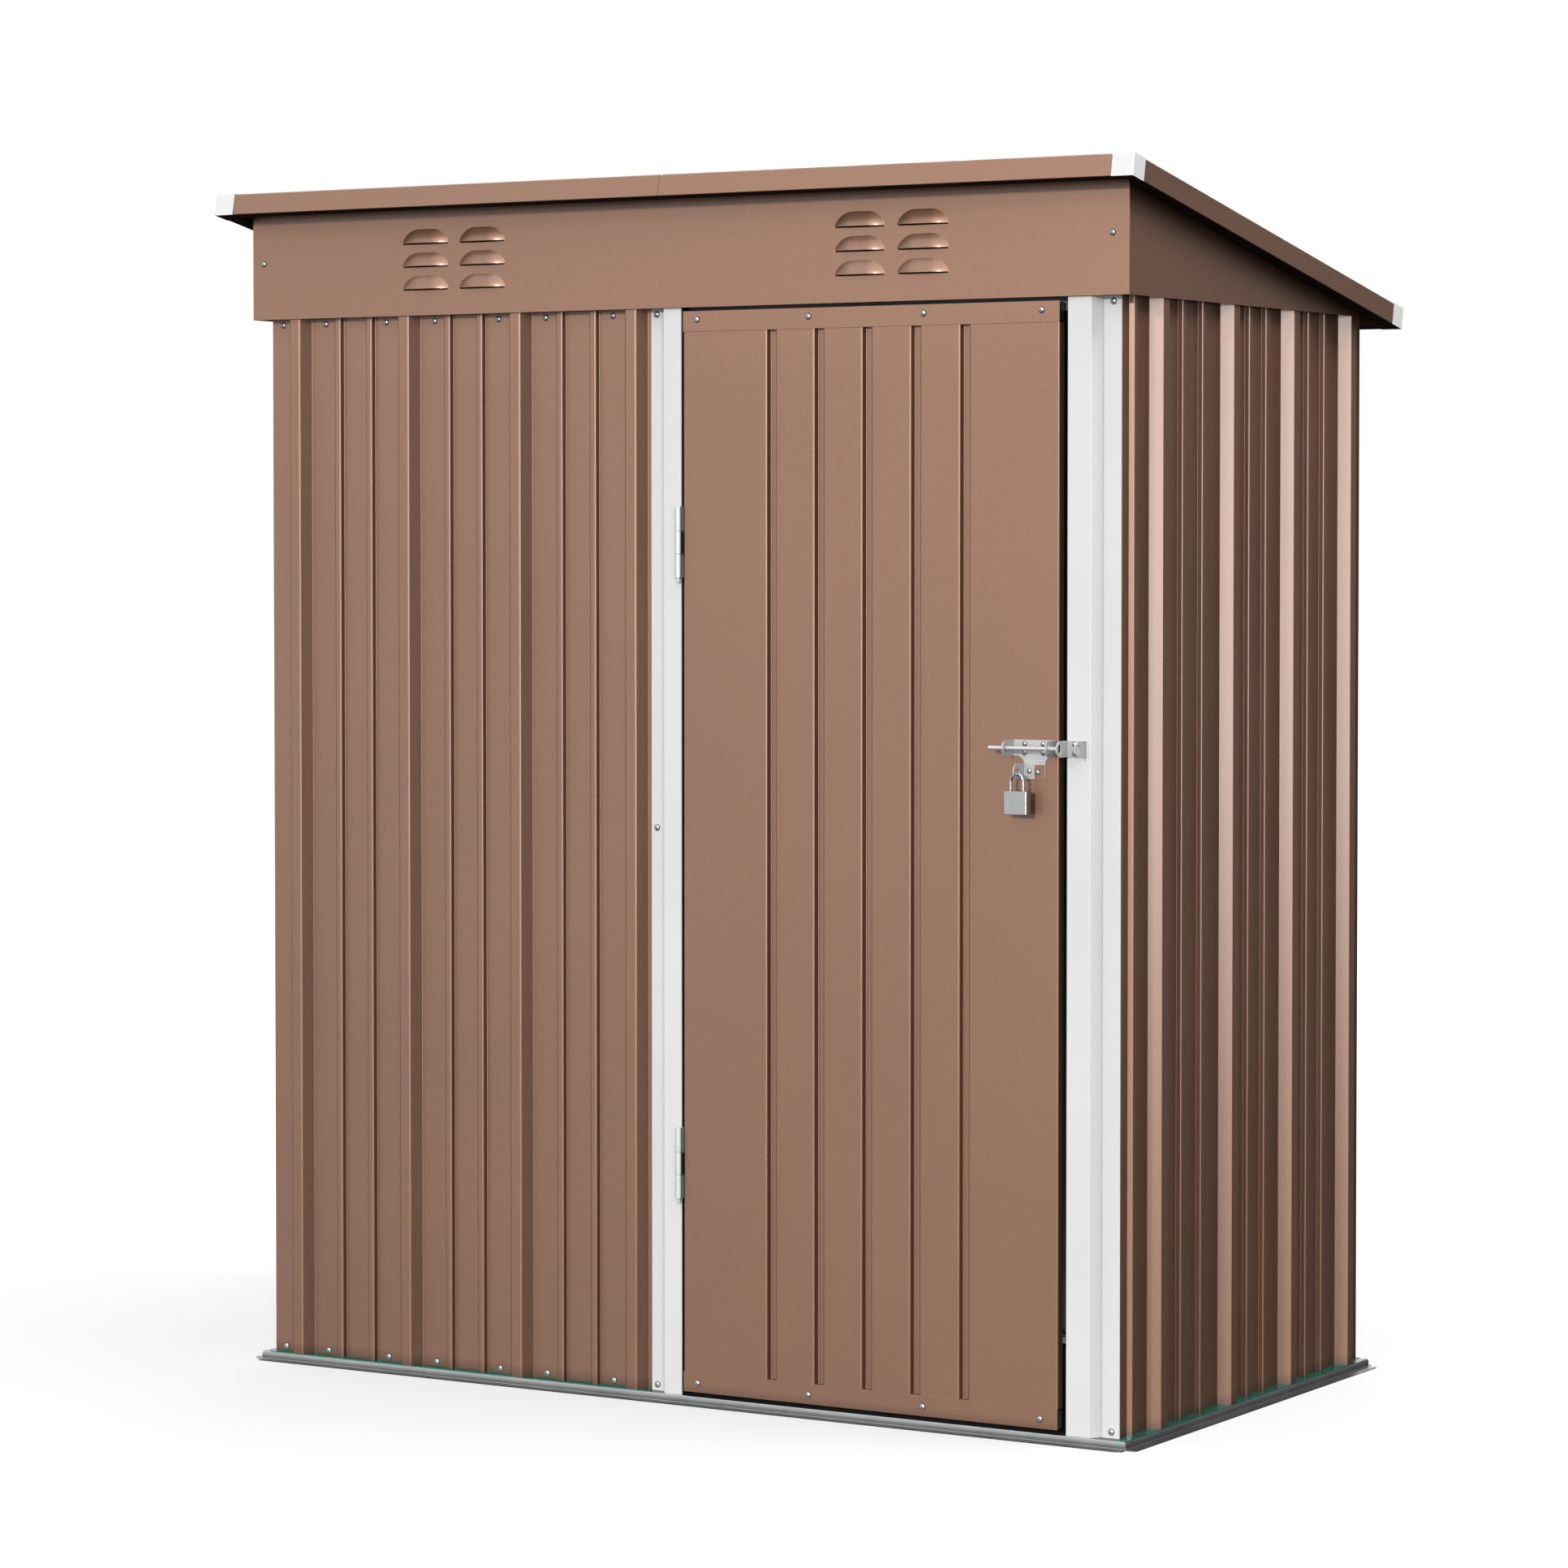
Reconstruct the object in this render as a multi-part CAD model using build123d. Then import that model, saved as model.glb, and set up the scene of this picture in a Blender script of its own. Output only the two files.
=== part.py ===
from build123d import *
import math
import os

# Small lean-to steel storage shed: corrugated walls on a galvanised base frame,
# a single hinged door, a louvred front fascia and a roof that falls to the back.
#
# Plan coordinates below are "corner coordinates": X is measured from the right-hand
# edge of the ground flange (negative to the left), Y from its front edge (positive
# to the back), Z up from the ground. px() and py() turn them into the part's frame,
# whose origin is the bottom centre of the bounding box.

# ---------------------------------------------------------------- driving sizes
BASE_W = 1539.5          # ground flange, left to right
BASE_D = 851.7           # ground flange, front to back
FLANGE = 15.0            # width of the ground flange outside the web
RAIL_H = 12.4            # height of the base rail
RAIL_IN = 62.0           # inner edge of the base rail, from the flange edge
RAIL_T = 1.2
CORNER_GAP = 0.7         # half the open joint between two base rails

SEAL_T = 0.8             # green strip on the rail under the wall sheets
TROUGH = 34.0            # outer face of the wall sheets' flats, from the flange edge
RIB_D = 18.0             # depth of a main rib
RIB_RUN = 11.0           # its sloping side, along the wall
RIB_TOP = 18.0           # its flat top
MINI_D = 8.2             # depth of a small rib
MINI_RUN = 1.5
MINI_TOP = 10.8
SHEET_T = 0.8
WALL_BOT = RAIL_H + SEAL_T
WALL_TOP = 1621.0

FASCIA_IN = 12.0         # outer face of the fascia, from the flange edge
FASCIA_BOT = 1615.8
FASCIA_T = 1.0

ROOF_DEG = 11.015        # fall of the roof
ROOF_Y0 = -45.2          # bottom front edge of the roof's edge trim
ROOF_Z0 = 1776.0
ROOF_L = 923.1           # along the slope
ROOF_X0, ROOF_X1 = -1560.9, 21.4
TRIM_H = 32.3            # face of the edge trim
TRIM_T = 1.0
TRIM_TOP = 18.0          # its top flange
TRIM_BOT = 20.0          # its bottom flange
SHEET_N = 17.0           # underside of the roof sheet above the trim's bottom edge
ROOF_RIB = 12.0
CAP = 34.0               # leg of a white corner cap
CAP_T = 1.0

DOOR_L, DOOR_R = -746.6, -123.1
DOOR_BOT, DOOR_TOP = 19.0, 1610.4
DOOR_Y = 15.0            # outer face of the door skin
DOOR_BACK = 30.0
DOOR_STRIP = 30.0        # height of the strips along its top and bottom
GROOVES = [(-603.3, -587.8), (-523.1, -507.6), (-443.0, -427.5), (-362.8, -347.3), (-282.6, -267.1)]
GROOVE_D = 9.0           # depth of the door's pressed grooves
GROOVE_RUN = 1.8         # their side walls, across the door

HINGE_X, HINGE_Y = -752.6, 11.0
HINGE_R = 5.0
PIN_R = 2.5
HINGE_Z = [(304.6, 409.0), (1219.6, 1324.7)]

BOLT_Y, BOLT_Z, BOLT_R = -8.5, 982.0, 3.25
BOLT_X0, BOLT_X1 = -223.0, -113.0      # drawn back: its tip is just short of the keeper
LOCK_X, LOCK_Y, LOCK_Z = -178.65, -5.5, 945.4

cosr, sinr, tanr = (f(math.radians(ROOF_DEG)) for f in (math.cos, math.sin, math.tan))
Y_MIN = ROOF_Y0 - CAP_T * cosr - 0.5 * sinr
Y_MAX = ROOF_Y0 + (ROOF_L + CAP_T) * cosr + (TRIM_H + CAP_T) * sinr
OX = -(ROOF_X0 + ROOF_X1) / 2
OY = -(Y_MIN + Y_MAX) / 2

os.makedirs("parts", exist_ok=True)


def px(x):
    return x + OX


def py(y):
    return y + OY


# ---------------------------------------------------------------- small helpers
def block(x0, x1, y0, y1, z0, z1):
    c = Vector(px((x0 + x1) / 2), py((y0 + y1) / 2), (z0 + z1) / 2)
    return Pos(c.X, c.Y, c.Z) * Box(abs(x1 - x0), abs(y1 - y0), abs(z1 - z0))


def face_xy(pts, z):
    return make_face(Polyline([(px(x), py(y), z) for x, y in pts], close=True))


def prism_z(pts, z0, z1):
    return extrude(face_xy(pts, z0), amount=z1 - z0, dir=(0, 0, 1))


def prism_x(pts, x0, x1):
    f = make_face(Polyline([(px(x0), py(y), z) for y, z in pts], close=True))
    return extrude(f, amount=x1 - x0, dir=(1, 0, 0))


def strip(pts, t):
    """Closed outline of a folded sheet: pts and the same line moved t to its left."""
    n = len(pts)
    seg = []
    for (ax, ay), (bx, by) in zip(pts, pts[1:]):
        d = math.hypot(bx - ax, by - ay)
        seg.append(((bx - ax) / d, (by - ay) / d))
    off = []
    for i, (x, y) in enumerate(pts):
        a = seg[max(i - 1, 0)]
        b = seg[min(i, n - 2)]
        na, nb = (-a[1], a[0]), (-b[1], b[0])
        mx, my = na[0] + nb[0], na[1] + nb[1]
        k = 2 * t / (mx * mx + my * my)
        off.append((x + mx * k, y + my * k))
    return list(pts) + off[::-1]


def ribbed(s0, s1, mains, minis):
    """Outer line of a ribbed sheet as (along, out) from s0 to s1. mains and minis are
    the first foot of each rib."""
    ev = [(m, RIB_RUN, RIB_TOP, RIB_D) for m in mains] + [(m, MINI_RUN, MINI_TOP, MINI_D) for m in minis]
    pts = [(s0, 0.0)]
    for m, run, top, d in sorted(ev):
        pts += [(m, 0.0), (m + run, d), (m + run + top, d), (m + 2 * run + top, 0.0)]
    pts.append((s1, 0.0))
    return pts


def ring_z(x, y, z0, z1, r, bore=0.0):
    c = Pos(px(x), py(y), (z0 + z1) / 2) * Cylinder(r, z1 - z0)
    if bore:
        c -= Pos(px(x), py(y), (z0 + z1) / 2) * Cylinder(bore, z1 - z0 + 2)
    return c


def rod_x(x0, x1, y, z, r):
    return Pos(px((x0 + x1) / 2), py(y), z) * Rot(0, 90, 0) * Cylinder(r, x1 - x0)


nodes = {}

# ---------------------------------------------------------------- base frame
# hat section: ground flange, web, ledge, inner leg
hat = [(0, 0), (FLANGE + RAIL_T, 0), (FLANGE + RAIL_T, RAIL_H - RAIL_T), (RAIL_IN - RAIL_T, RAIL_H - RAIL_T),
       (RAIL_IN - RAIL_T, 0), (RAIL_IN, 0), (RAIL_IN, RAIL_H), (FLANGE, RAIL_H), (FLANGE, RAIL_T), (0, RAIL_T)]


def rail_x(front):
    ys = [(y if front else BASE_D - y, z) for y, z in hat]
    s = prism_x(ys, -BASE_W + FLANGE, -FLANGE)
    g = CORNER_GAP
    far = RAIL_IN + 20
    for right in (True, False):
        # mitred ends: the ledge is cut back at 45 degrees from the web's corner
        a = -FLANGE if right else -BASE_W + FLANGE
        sgn = -1 if right else 1
        tri = [(a + sgn * g, -5), (a + sgn * g, FLANGE), (a + sgn * (g + far), FLANGE + far),
               (a - sgn * 10, FLANGE + far), (a - sgn * 10, -5)]
        tri = [(x, y if front else BASE_D - y) for x, y in tri]
        s -= prism_z(tri, -5, RAIL_H + 5)
    return s


def rail_y(right):
    xs = [(-d if right else -BASE_W + d, z) for d, z in hat]
    y0, y1 = FLANGE, BASE_D - FLANGE
    f = make_face(Polyline([(px(x), py(y0), z) for x, z in xs], close=True))
    s = extrude(f, amount=y1 - y0, dir=(0, 1, 0))
    g = CORNER_GAP
    far = RAIL_IN + 20
    for front in (True, False):
        a = FLANGE if front else BASE_D - FLANGE
        sgn = 1 if front else -1
        tri = [(-5, a + sgn * g), (FLANGE, a + sgn * g), (FLANGE + far, a + sgn * (g + far)),
               (FLANGE + far, a - sgn * 10), (-5, a - sgn * 10)]
        tri = [(-d if right else -BASE_W + d, y) for d, y in tri]
        s -= prism_z(tri, -5, RAIL_H + 5)
    return s


nodes["base_rail_front"] = rail_x(True)
nodes["base_rail_back"] = rail_x(False)
nodes["base_rail_right"] = rail_y(True)
nodes["base_rail_left"] = rail_y(False)

# green strips between the base rails and the wall sheets, one a wall
s0, s1 = FLANGE + 1, RAIL_IN - 2
strips = [
    block(-BASE_W + 30, -815, s0, s1, RAIL_H, WALL_BOT),
    block(-BASE_W + 30, -30, BASE_D - s1, BASE_D - s0, RAIL_H, WALL_BOT),
    block(-s1, -s0, RAIL_IN + 1, BASE_D - RAIL_IN - 1, RAIL_H, WALL_BOT),
    block(-BASE_W + s0, -BASE_W + s1, RAIL_IN + 1, BASE_D - RAIL_IN - 1, RAIL_H, WALL_BOT),
    # short end that reaches the right front corner beside the post
    block(-33.4, -s0, 20.0, RAIL_IN + 0.8, RAIL_H, WALL_BOT),
]
nodes["sill_strips"] = Compound(children=strips)

# ---------------------------------------------------------------- walls
FRONT_MAIN = [-1476.0, -1271.0, -1066.5, -860.0]
FRONT_MINI = [-1388.7, -1329.7, -1184.0, -1124.9, -979.7, -920.0]
SIDE_MAIN = [116.0, 343.5, 547.5, 750.3]
SIDE_MINI = [54.0, 206.2, 270.2, 424.6, 481.0, 627.3, 683.3]


def sheet_front(x0, x1, mains, minis):
    line = [(s, TROUGH - d) for s, d in ribbed(x0, x1, mains, minis)]
    return prism_z(strip(line, SHEET_T), WALL_BOT, WALL_TOP)


def sheet_back(x0, x1, mains, minis):
    line = [(s, BASE_D - TROUGH + d) for s, d in ribbed(x0, x1, mains, minis)]
    return prism_z(strip(line, -SHEET_T), WALL_BOT, WALL_TOP)


def sheet_side(right, y0, y1, mains, minis):
    if right:
        line = [(-TROUGH + d, s) for s, d in ribbed(y0, y1, mains, minis)]
        return prism_z(strip(line, SHEET_T), WALL_BOT, WALL_TOP)
    line = [(-BASE_W + TROUGH - d, s) for s, d in ribbed(y0, y1, mains, minis)]
    return prism_z(strip(line, -SHEET_T), WALL_BOT, WALL_TOP)


nodes["front_panel"] = sheet_front(-1511.0, -788.0, FRONT_MAIN, FRONT_MINI)
nodes["right_wall_panel"] = sheet_side(True, TROUGH + 1.2, BASE_D - TROUGH - 1.2, SIDE_MAIN, SIDE_MINI)
nodes["left_wall_panel"] = sheet_side(False, TROUGH + 1.2, BASE_D - TROUGH - 1.2, SIDE_MAIN, SIDE_MINI)
MID = -BASE_W / 2
back_main = [61.0, 266.0, 471.0, 676.0]
nodes["back_wall_panel_left"] = sheet_back(-1511.0, MID - 0.25, [-1511 + b - 25 for b in back_main],
                                           [-1511 + b - 25 + k for b in back_main[:3] for k in (86, 145)])
nodes["back_wall_panel_right"] = sheet_back(MID + 0.25, -BASE_W + 1511.0, [-28.5 - b - 40 + 25 for b in back_main][::-1],
                                            [-28.5 - b - 40 + 25 - k + 25 for b in back_main[:3] for k in (86, 145)])

# ---------------------------------------------------------------- posts
POST_Y = 16.5            # front face of the white posts
POST_T = 1.0
nodes["door_post_left"] = prism_z(strip(
    [(-813.6, TROUGH - 1.0), (-784.2, TROUGH - 1.0), (-782.8, POST_Y), (-751.6, POST_Y), (-751.6, 58.0), (-775.0, 58.0)],
    POST_T), RAIL_H, WALL_TOP)
nodes["corner_post_right"] = prism_z(strip(
    [(-90.0, 58.0), (-111.8, 58.0), (-111.8, POST_Y), (-74.1, POST_Y), (-63.5, TROUGH - 1.0), (-34.6, TROUGH - 1.0)],
    POST_T), RAIL_H, WALL_TOP)
nodes["corner_post_left"] = prism_z(strip(
    [(-1504.2, 62.0), (-1504.2, TROUGH + 1.2), (-1478.0, TROUGH + 1.2)], 1.2), WALL_BOT, 1700.0)


# ---------------------------------------------------------------- top frame
def under(y, n=SHEET_N):
    """Height of the roof sheet's underside (or any level n above the trim's bottom) over y."""
    return ROOF_Z0 - (y - ROOF_Y0) * tanr + n / cosr


TR0, TR1 = 1597.0, 1621.0
cw = 25.0


def channel_x(y_web, y_open, x0, x1):
    return prism_x(strip([(y_open, TR0), (y_web, TR0), (y_web, TR1), (y_open, TR1)],
                         1.2 if (y_web > y_open) else -1.2), x0, x1)


nodes["top_rail_front"] = channel_x(TROUGH + 1.9, TROUGH + 1.9 + cw, -1476.5, -64.0) - \
    block(-776.5, -750.0, TROUGH, 59.5, TR0 - 2, TR1 + 2) - block(-113.0, -88.0, TROUGH, 59.5, TR0 - 2, TR1 + 2)
nodes["top_rail_back"] = channel_x(BASE_D - TROUGH - 0.9, BASE_D - TROUGH - 0.9 - cw, -1476.5, -64.0)


def channel_y(x_web, x_open, y0, y1):
    f = make_face(Polyline([(px(x), py(y0), z) for x, z in
                            strip([(x_open, TR0), (x_web, TR0), (x_web, TR1), (x_open, TR1)],
                                  1.2 if x_web > x_open else -1.2)], close=True))
    return extrude(f, amount=y1 - y0, dir=(0, 1, 0))


nodes["top_rail_right"] = channel_y(-TROUGH - 0.9, -TROUGH - 0.9 - cw, 62.5, BASE_D - 62.5)
nodes["top_rail_left"] = channel_y(-BASE_W + TROUGH + 0.9, -BASE_W + TROUGH + 0.9 + cw, 62.5, BASE_D - 62.5)

# header behind the fascia, under the roof's front edge
hd = [(16.0, under(16.0) - 0.2), (40.0, under(40.0) - 0.2), (40.0, 1742.0), (22.0, 1742.0)]
nodes["roof_header"] = prism_x(strip(hd, -1.2), -1500.0, -40.0)

# ---------------------------------------------------------------- fascia
lv_cols = [(-1248.6, -1163.6), (-1144.0, -1060.3), (-487.0, -403.3), (-383.5, -298.8)]
lv_rows = [(1725.0, 1746.3), (1690.4, 1711.2), (1655.8, 1676.2)]
HOOD = 8.5


fx0, fx1 = -1532.0, -12.0
fy = FASCIA_IN
fascia = prism_x([(fy, FASCIA_BOT), (fy + FASCIA_T, FASCIA_BOT), (fy + FASCIA_T, under(fy + FASCIA_T) - 0.3),
                  (fy, under(fy) - 0.3)], fx0, fx1)
hem = block(fx0 + 2, fx1 - 2, fy, fy + 2.6, FASCIA_BOT, FASCIA_BOT + 1.0)
fascia += hem
for x0, x1 in lv_cols:
    for z0, z1 in lv_rows:
        outer = prism_x([(fy + 0.5, z1), (fy - 0.6, z1), (fy - HOOD, z0 + 3.0), (fy - HOOD, z0), (fy + 0.5, z0)], x0, x1)
        inner = prism_x([(fy + 2, z1 - 1.6), (fy - HOOD + 0.9, z0 + 2.6), (fy - HOOD + 0.9, z0 - 1), (fy + 2, z0 - 1)],
                        x0 + 1.0, x1 - 1.0)
        slot = block(x0 + 1.0, x1 - 1.0, fy - 1, fy + 2, z0 + 0.8, z1 - 4.0)
        fascia = fascia - slot
        fascia = fascia + (outer - inner)
nodes["fascia_front"] = fascia


def fascia_side(right):
    y0, y1 = fy + FASCIA_T + 0.3, 806.0
    pts = [(y0, FASCIA_BOT), (y1, FASCIA_BOT), (y1, under(y1) - 0.3), (y0, under(y0) - 0.3)]
    return prism_x(pts, -fy - FASCIA_T, -fy) if right else prism_x(pts, -1532.0, -1532.0 + FASCIA_T)


nodes["fascia_right"] = fascia_side(True)
nodes["fascia_left"] = fascia_side(False)

# ---------------------------------------------------------------- roof
# built level as (X, along the slope, height above the trim's bottom edge), then tilted
tilt = Location((0, py(ROOF_Y0), ROOF_Z0), (-ROOF_DEG, 0, 0))


def rblock(x0, x1, v0, v1, n0, n1):
    return Pos(px((x0 + x1) / 2), (v0 + v1) / 2, (n0 + n1) / 2) * Box(x1 - x0, v1 - v0, n1 - n0)


def roof_sheet(x0, x1, feet):
    line = [(x0, SHEET_N)]
    for m in feet:
        line += [(m, SHEET_N), (m + 10, SHEET_N + ROOF_RIB), (m + 38, SHEET_N + ROOF_RIB), (m + 48, SHEET_N)]
    line.append((x1, SHEET_N))
    f = make_face(Polyline([(px(x), 2.0, n) for x, n in strip(line, SHEET_T)], close=True))
    return tilt * extrude(f, amount=ROOF_L - 4.0, dir=(0, 1, 0))


SEAM = -769.75
nodes["roof_sheet_left"] = roof_sheet(ROOF_X0 + 2, SEAM - 0.2, [ROOF_X0 + 40 + k * 187 for k in range(4)])
nodes["roof_sheet_right"] = roof_sheet(SEAM + 0.2, ROOF_X1 - 2, [ROOF_X1 - 40 - 48 - k * 187 for k in range(4)][::-1])


def c_trim_x(x0, x1, front):
    v0 = 0.0 if front else ROOF_L
    s = 1 if front else -1
    t = TRIM_T
    pts = [(v0, 0), (v0 + s * TRIM_BOT, 0), (v0 + s * TRIM_BOT, t), (v0 + s * t, t), (v0 + s * t, TRIM_H - t),
           (v0 + s * TRIM_TOP, TRIM_H - t), (v0 + s * TRIM_TOP, TRIM_H), (v0, TRIM_H)]
    f = make_face(Polyline([(px(x0), v, n) for v, n in pts], close=True))
    return tilt * extrude(f, amount=x1 - x0, dir=(1, 0, 0))


def c_trim_v(x_out, s):
    t = TRIM_T
    pts = [(x_out, 0), (x_out - s * TRIM_BOT, 0), (x_out - s * TRIM_BOT, t), (x_out - s * t, t), (x_out - s * t, TRIM_H - t),
           (x_out - s * TRIM_TOP, TRIM_H - t), (x_out - s * TRIM_TOP, TRIM_H), (x_out, TRIM_H)]
    v0 = TRIM_BOT + 0.3
    f = make_face(Polyline([(px(x), v0, n) for x, n in pts], close=True))
    return tilt * extrude(f, amount=ROOF_L - 2 * v0, dir=(0, 1, 0))


TRIM_JOINT = -753.0
nodes["roof_trim_front_left"] = c_trim_x(ROOF_X0, TRIM_JOINT - 0.3, True)
nodes["roof_trim_front_right"] = c_trim_x(TRIM_JOINT + 0.3, ROOF_X1, True)
nodes["roof_trim_back"] = c_trim_x(ROOF_X0, ROOF_X1, False)
nodes["roof_trim_right"] = c_trim_v(ROOF_X1, 1)
nodes["roof_trim_left"] = c_trim_v(ROOF_X0, -1)


def cap(right, front):
    s = 1 if right else -1
    xo = ROOF_X1 if right else ROOF_X0
    q = 1 if front else -1
    vo = 0.0 if front else ROOF_L
    a = rblock(*sorted((xo + s * CAP_T, xo + s * CAP_T - s * CAP)), *sorted((vo - q * CAP_T, vo)), -0.5, TRIM_H + CAP_T)
    b = rblock(*sorted((xo + s * CAP_T, xo)), *sorted((vo - q * CAP_T, vo - q * CAP_T + q * CAP)), -0.5, TRIM_H + CAP_T)
    c = rblock(*sorted((xo + s * CAP_T, xo + s * CAP_T - s * CAP)), *sorted((vo - q * CAP_T, vo - q * CAP_T + q * CAP)),
               TRIM_H, TRIM_H + CAP_T)
    return tilt * (a + b + c)


nodes["roof_cap_front_right"] = cap(True, True)
nodes["roof_cap_front_left"] = cap(False, True)
nodes["roof_cap_back_right"] = cap(True, False)
nodes["roof_cap_back_left"] = cap(False, False)

# beam under the seam of the two roof sheets, an upturned channel
vb0, vb1 = 92.0, 846.0
beam = rblock(SEAM - 15, SEAM + 15, vb0, vb1, -9.0, SHEET_N - 0.3) - rblock(SEAM - 13.8, SEAM + 13.8, vb0 - 1, vb1 + 1, -10.0, SHEET_N - 1.5)
nodes["roof_beam"] = tilt * beam

# ---------------------------------------------------------------- hinges
post_leaves, door_leaves = [], []
for z0, z1 in HINGE_Z:
    za, zb = z0 + 35.0, z1 - 36.0        # door knuckle between the two post knuckles
    g = 0.3
    pin = ring_z(HINGE_X, HINGE_Y, z0 - 7.0, z1 + 0.5, PIN_R)
    low = ring_z(HINGE_X, HINGE_Y, z0, za - g, HINGE_R)
    top = ring_z(HINGE_X, HINGE_Y, zb + g, z1, HINGE_R)
    leaf = block(-751.6, -750.4, 17.5, 44.0, z0, z1) + block(-751.6, -750.4, HINGE_Y, 17.5, z0, za - g) + \
        block(-751.6, -750.4, HINGE_Y, 17.5, zb + g, z1)
    post_leaves.append(pin + low + top + leaf)
    kn = ring_z(HINGE_X, HINGE_Y, za + g, zb - g, HINGE_R)
    web = block(-751.0, -746.6, 10.0, 11.2, za + g, zb - g)
    dl = block(-747.8, -746.6, 10.0, 17.5, za + g, zb - g) + block(-747.8, -746.6, 17.5, DOOR_BACK - 1, z0, z1)
    d = kn + web + dl
    d -= ring_z(HINGE_X, HINGE_Y, za - 5, zb + 5, PIN_R + 0.06)
    door_leaves.append(d)
nodes["hinge_leaves_post"] = Compound(children=post_leaves)
nodes["hinge_leaves_door"] = Compound(children=door_leaves)

# ---------------------------------------------------------------- door
line = [(DOOR_L, DOOR_Y)]
for a, b in GROOVES:
    line += [(a, DOOR_Y), (a + GROOVE_RUN, DOOR_Y + GROOVE_D), (b - GROOVE_RUN, DOOR_Y + GROOVE_D), (b, DOOR_Y)]
line.append((DOOR_R, DOOR_Y))
# grooved between the strips, flat behind them, each groove closed at both ends
ZA, ZB = DOOR_BOT + DOOR_STRIP, DOOR_TOP - DOOR_STRIP
skin = prism_z(strip(line, SHEET_T), ZA - 0.4, ZB + 0.4)
skin += block(DOOR_L, DOOR_R, DOOR_Y, DOOR_Y + SHEET_T, DOOR_BOT, ZA)
skin += block(DOOR_L, DOOR_R, DOOR_Y, DOOR_Y + SHEET_T, ZB, DOOR_TOP)
for a, b in GROOVES:
    for z in (ZA - SHEET_T, ZB):
        skin += block(a, b, DOOR_Y + 0.2, DOOR_Y + GROOVE_D + SHEET_T, z, z + SHEET_T)
skin += block(DOOR_R - SHEET_T, DOOR_R, DOOR_Y + 0.2, DOOR_BACK, ZA, ZB)
skin += block(DOOR_L, DOOR_L + SHEET_T, DOOR_Y + 0.2, DOOR_BACK, ZA, ZB)
nodes["door_skin"] = skin
nodes["door_strip_top"] = block(DOOR_L, DOOR_R, DOOR_Y - 0.8, DOOR_Y, DOOR_TOP - DOOR_STRIP, DOOR_TOP)
nodes["door_strip_bottom"] = block(DOOR_L, DOOR_R, DOOR_Y - 0.8, DOOR_Y, DOOR_BOT, DOOR_BOT + DOOR_STRIP)


def door_channel(z0, z1):
    y0, y1, t = DOOR_Y + 5.0, DOOR_BACK, 1.0
    return block(DOOR_L + 1, DOOR_R - 1, y0, y1, z0, z1) - block(DOOR_L, DOOR_R, y0 + t, y1 + 1, z0 + t, z1 - t)


nodes["door_channel_top"] = door_channel(DOOR_TOP - 27.0, DOOR_TOP - 1.5)
nodes["door_channel_bottom"] = door_channel(DOOR_BOT + 1.5, DOOR_BOT + 27.0)

# ---------------------------------------------------------------- bolt, keeper, padlock
PT = 1.5                                  # plate thickness
PY = DOOR_Y - PT                          # front of the bolt's plate
ear_h0, ear_h1 = 970.3, 993.5


def ear(x0, y_base, y_tip, z0, z1, rounded, hole):
    """Ear standing out from a plate: hole is (y, z, half width, half height)."""
    zc, hh = (z0 + z1) / 2, (z1 - z0) / 2
    if rounded:
        s = block(x0, x0 + PT, y_tip + hh, y_base, z0, z1) + rod_x(x0, x0 + PT, y_tip + hh, zc, hh)
    else:
        c = 7.5
        s = prism_x([(y_base, z0), (y_base, z1), (y_tip + c, z1), (y_tip, z1 - c), (y_tip, z0 + c), (y_tip + c, z0)], x0, x0 + PT)
    y, z, w, h = hole
    cut = block(x0 - 1, x0 + PT + 1, y - w, y + w, z - (h - w), z + (h - w)) if h > w else None
    if cut is not None:
        s -= cut
        s -= rod_x(x0 - 1, x0 + PT + 1, y, z + (h - w), w)
        s -= rod_x(x0 - 1, x0 + PT + 1, y, z - (h - w), w)
    else:
        s -= rod_x(x0 - 1, x0 + PT + 1, y, z, w)
    return s


bw = BOLT_R + 0.3
slot = (BOLT_Y, BOLT_Z, bw, 6.5)
tpl = block(-196.0, -126.0, PY, DOOR_Y, ear_h0, ear_h1)
tpl += block(-177.9, -143.6, PY, DOOR_Y, 938.0, ear_h0)
for sx, cx in ((-1, -177.9), (1, -143.6)):
    r = 11.0
    f = block(*sorted((cx, cx + sx * r)), PY, DOOR_Y, ear_h0 - r, ear_h0)
    f -= Pos(px(cx + sx * r), py(PY + PT / 2), ear_h0 - r) * Rot(90, 0, 0) * Cylinder(r, PT + 2)
    tpl += f
tpl += ear(-196.0, DOOR_Y, -20.0, ear_h0, ear_h1, True, slot)
tpl += ear(-127.5, DOOR_Y, -20.0, ear_h0, ear_h1, True, slot)
tpl += ear(LOCK_X - PT / 2, DOOR_Y, -17.5, 938.2, 960.4, False, (LOCK_Y, LOCK_Z + 3.0, 5.6, 5.6))
nodes["bolt_plate"] = tpl

keep = block(-111.0, -80.5, POST_Y - PT, POST_Y, ear_h0, ear_h1)
keep += ear(-111.0, POST_Y, -18.0, ear_h0, ear_h1, False, slot)
keep += ear(-82.0, POST_Y, -18.0, ear_h0, ear_h1, False, slot)
nodes["bolt_keeper"] = keep

rod = rod_x(BOLT_X0, BOLT_X1, BOLT_Y, BOLT_Z, BOLT_R)
nodes["bolt_rod"] = chamfer(rod.edges().filter_by(GeomType.CIRCLE), 0.6)

case = block(-197.7, -159.6, LOCK_Y - 7.0, LOCK_Y + 7.0, 888.5, 921.5)
case = fillet(case.edges().filter_by(Axis.Z), 3.5)
nodes["padlock_case"] = case

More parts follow.
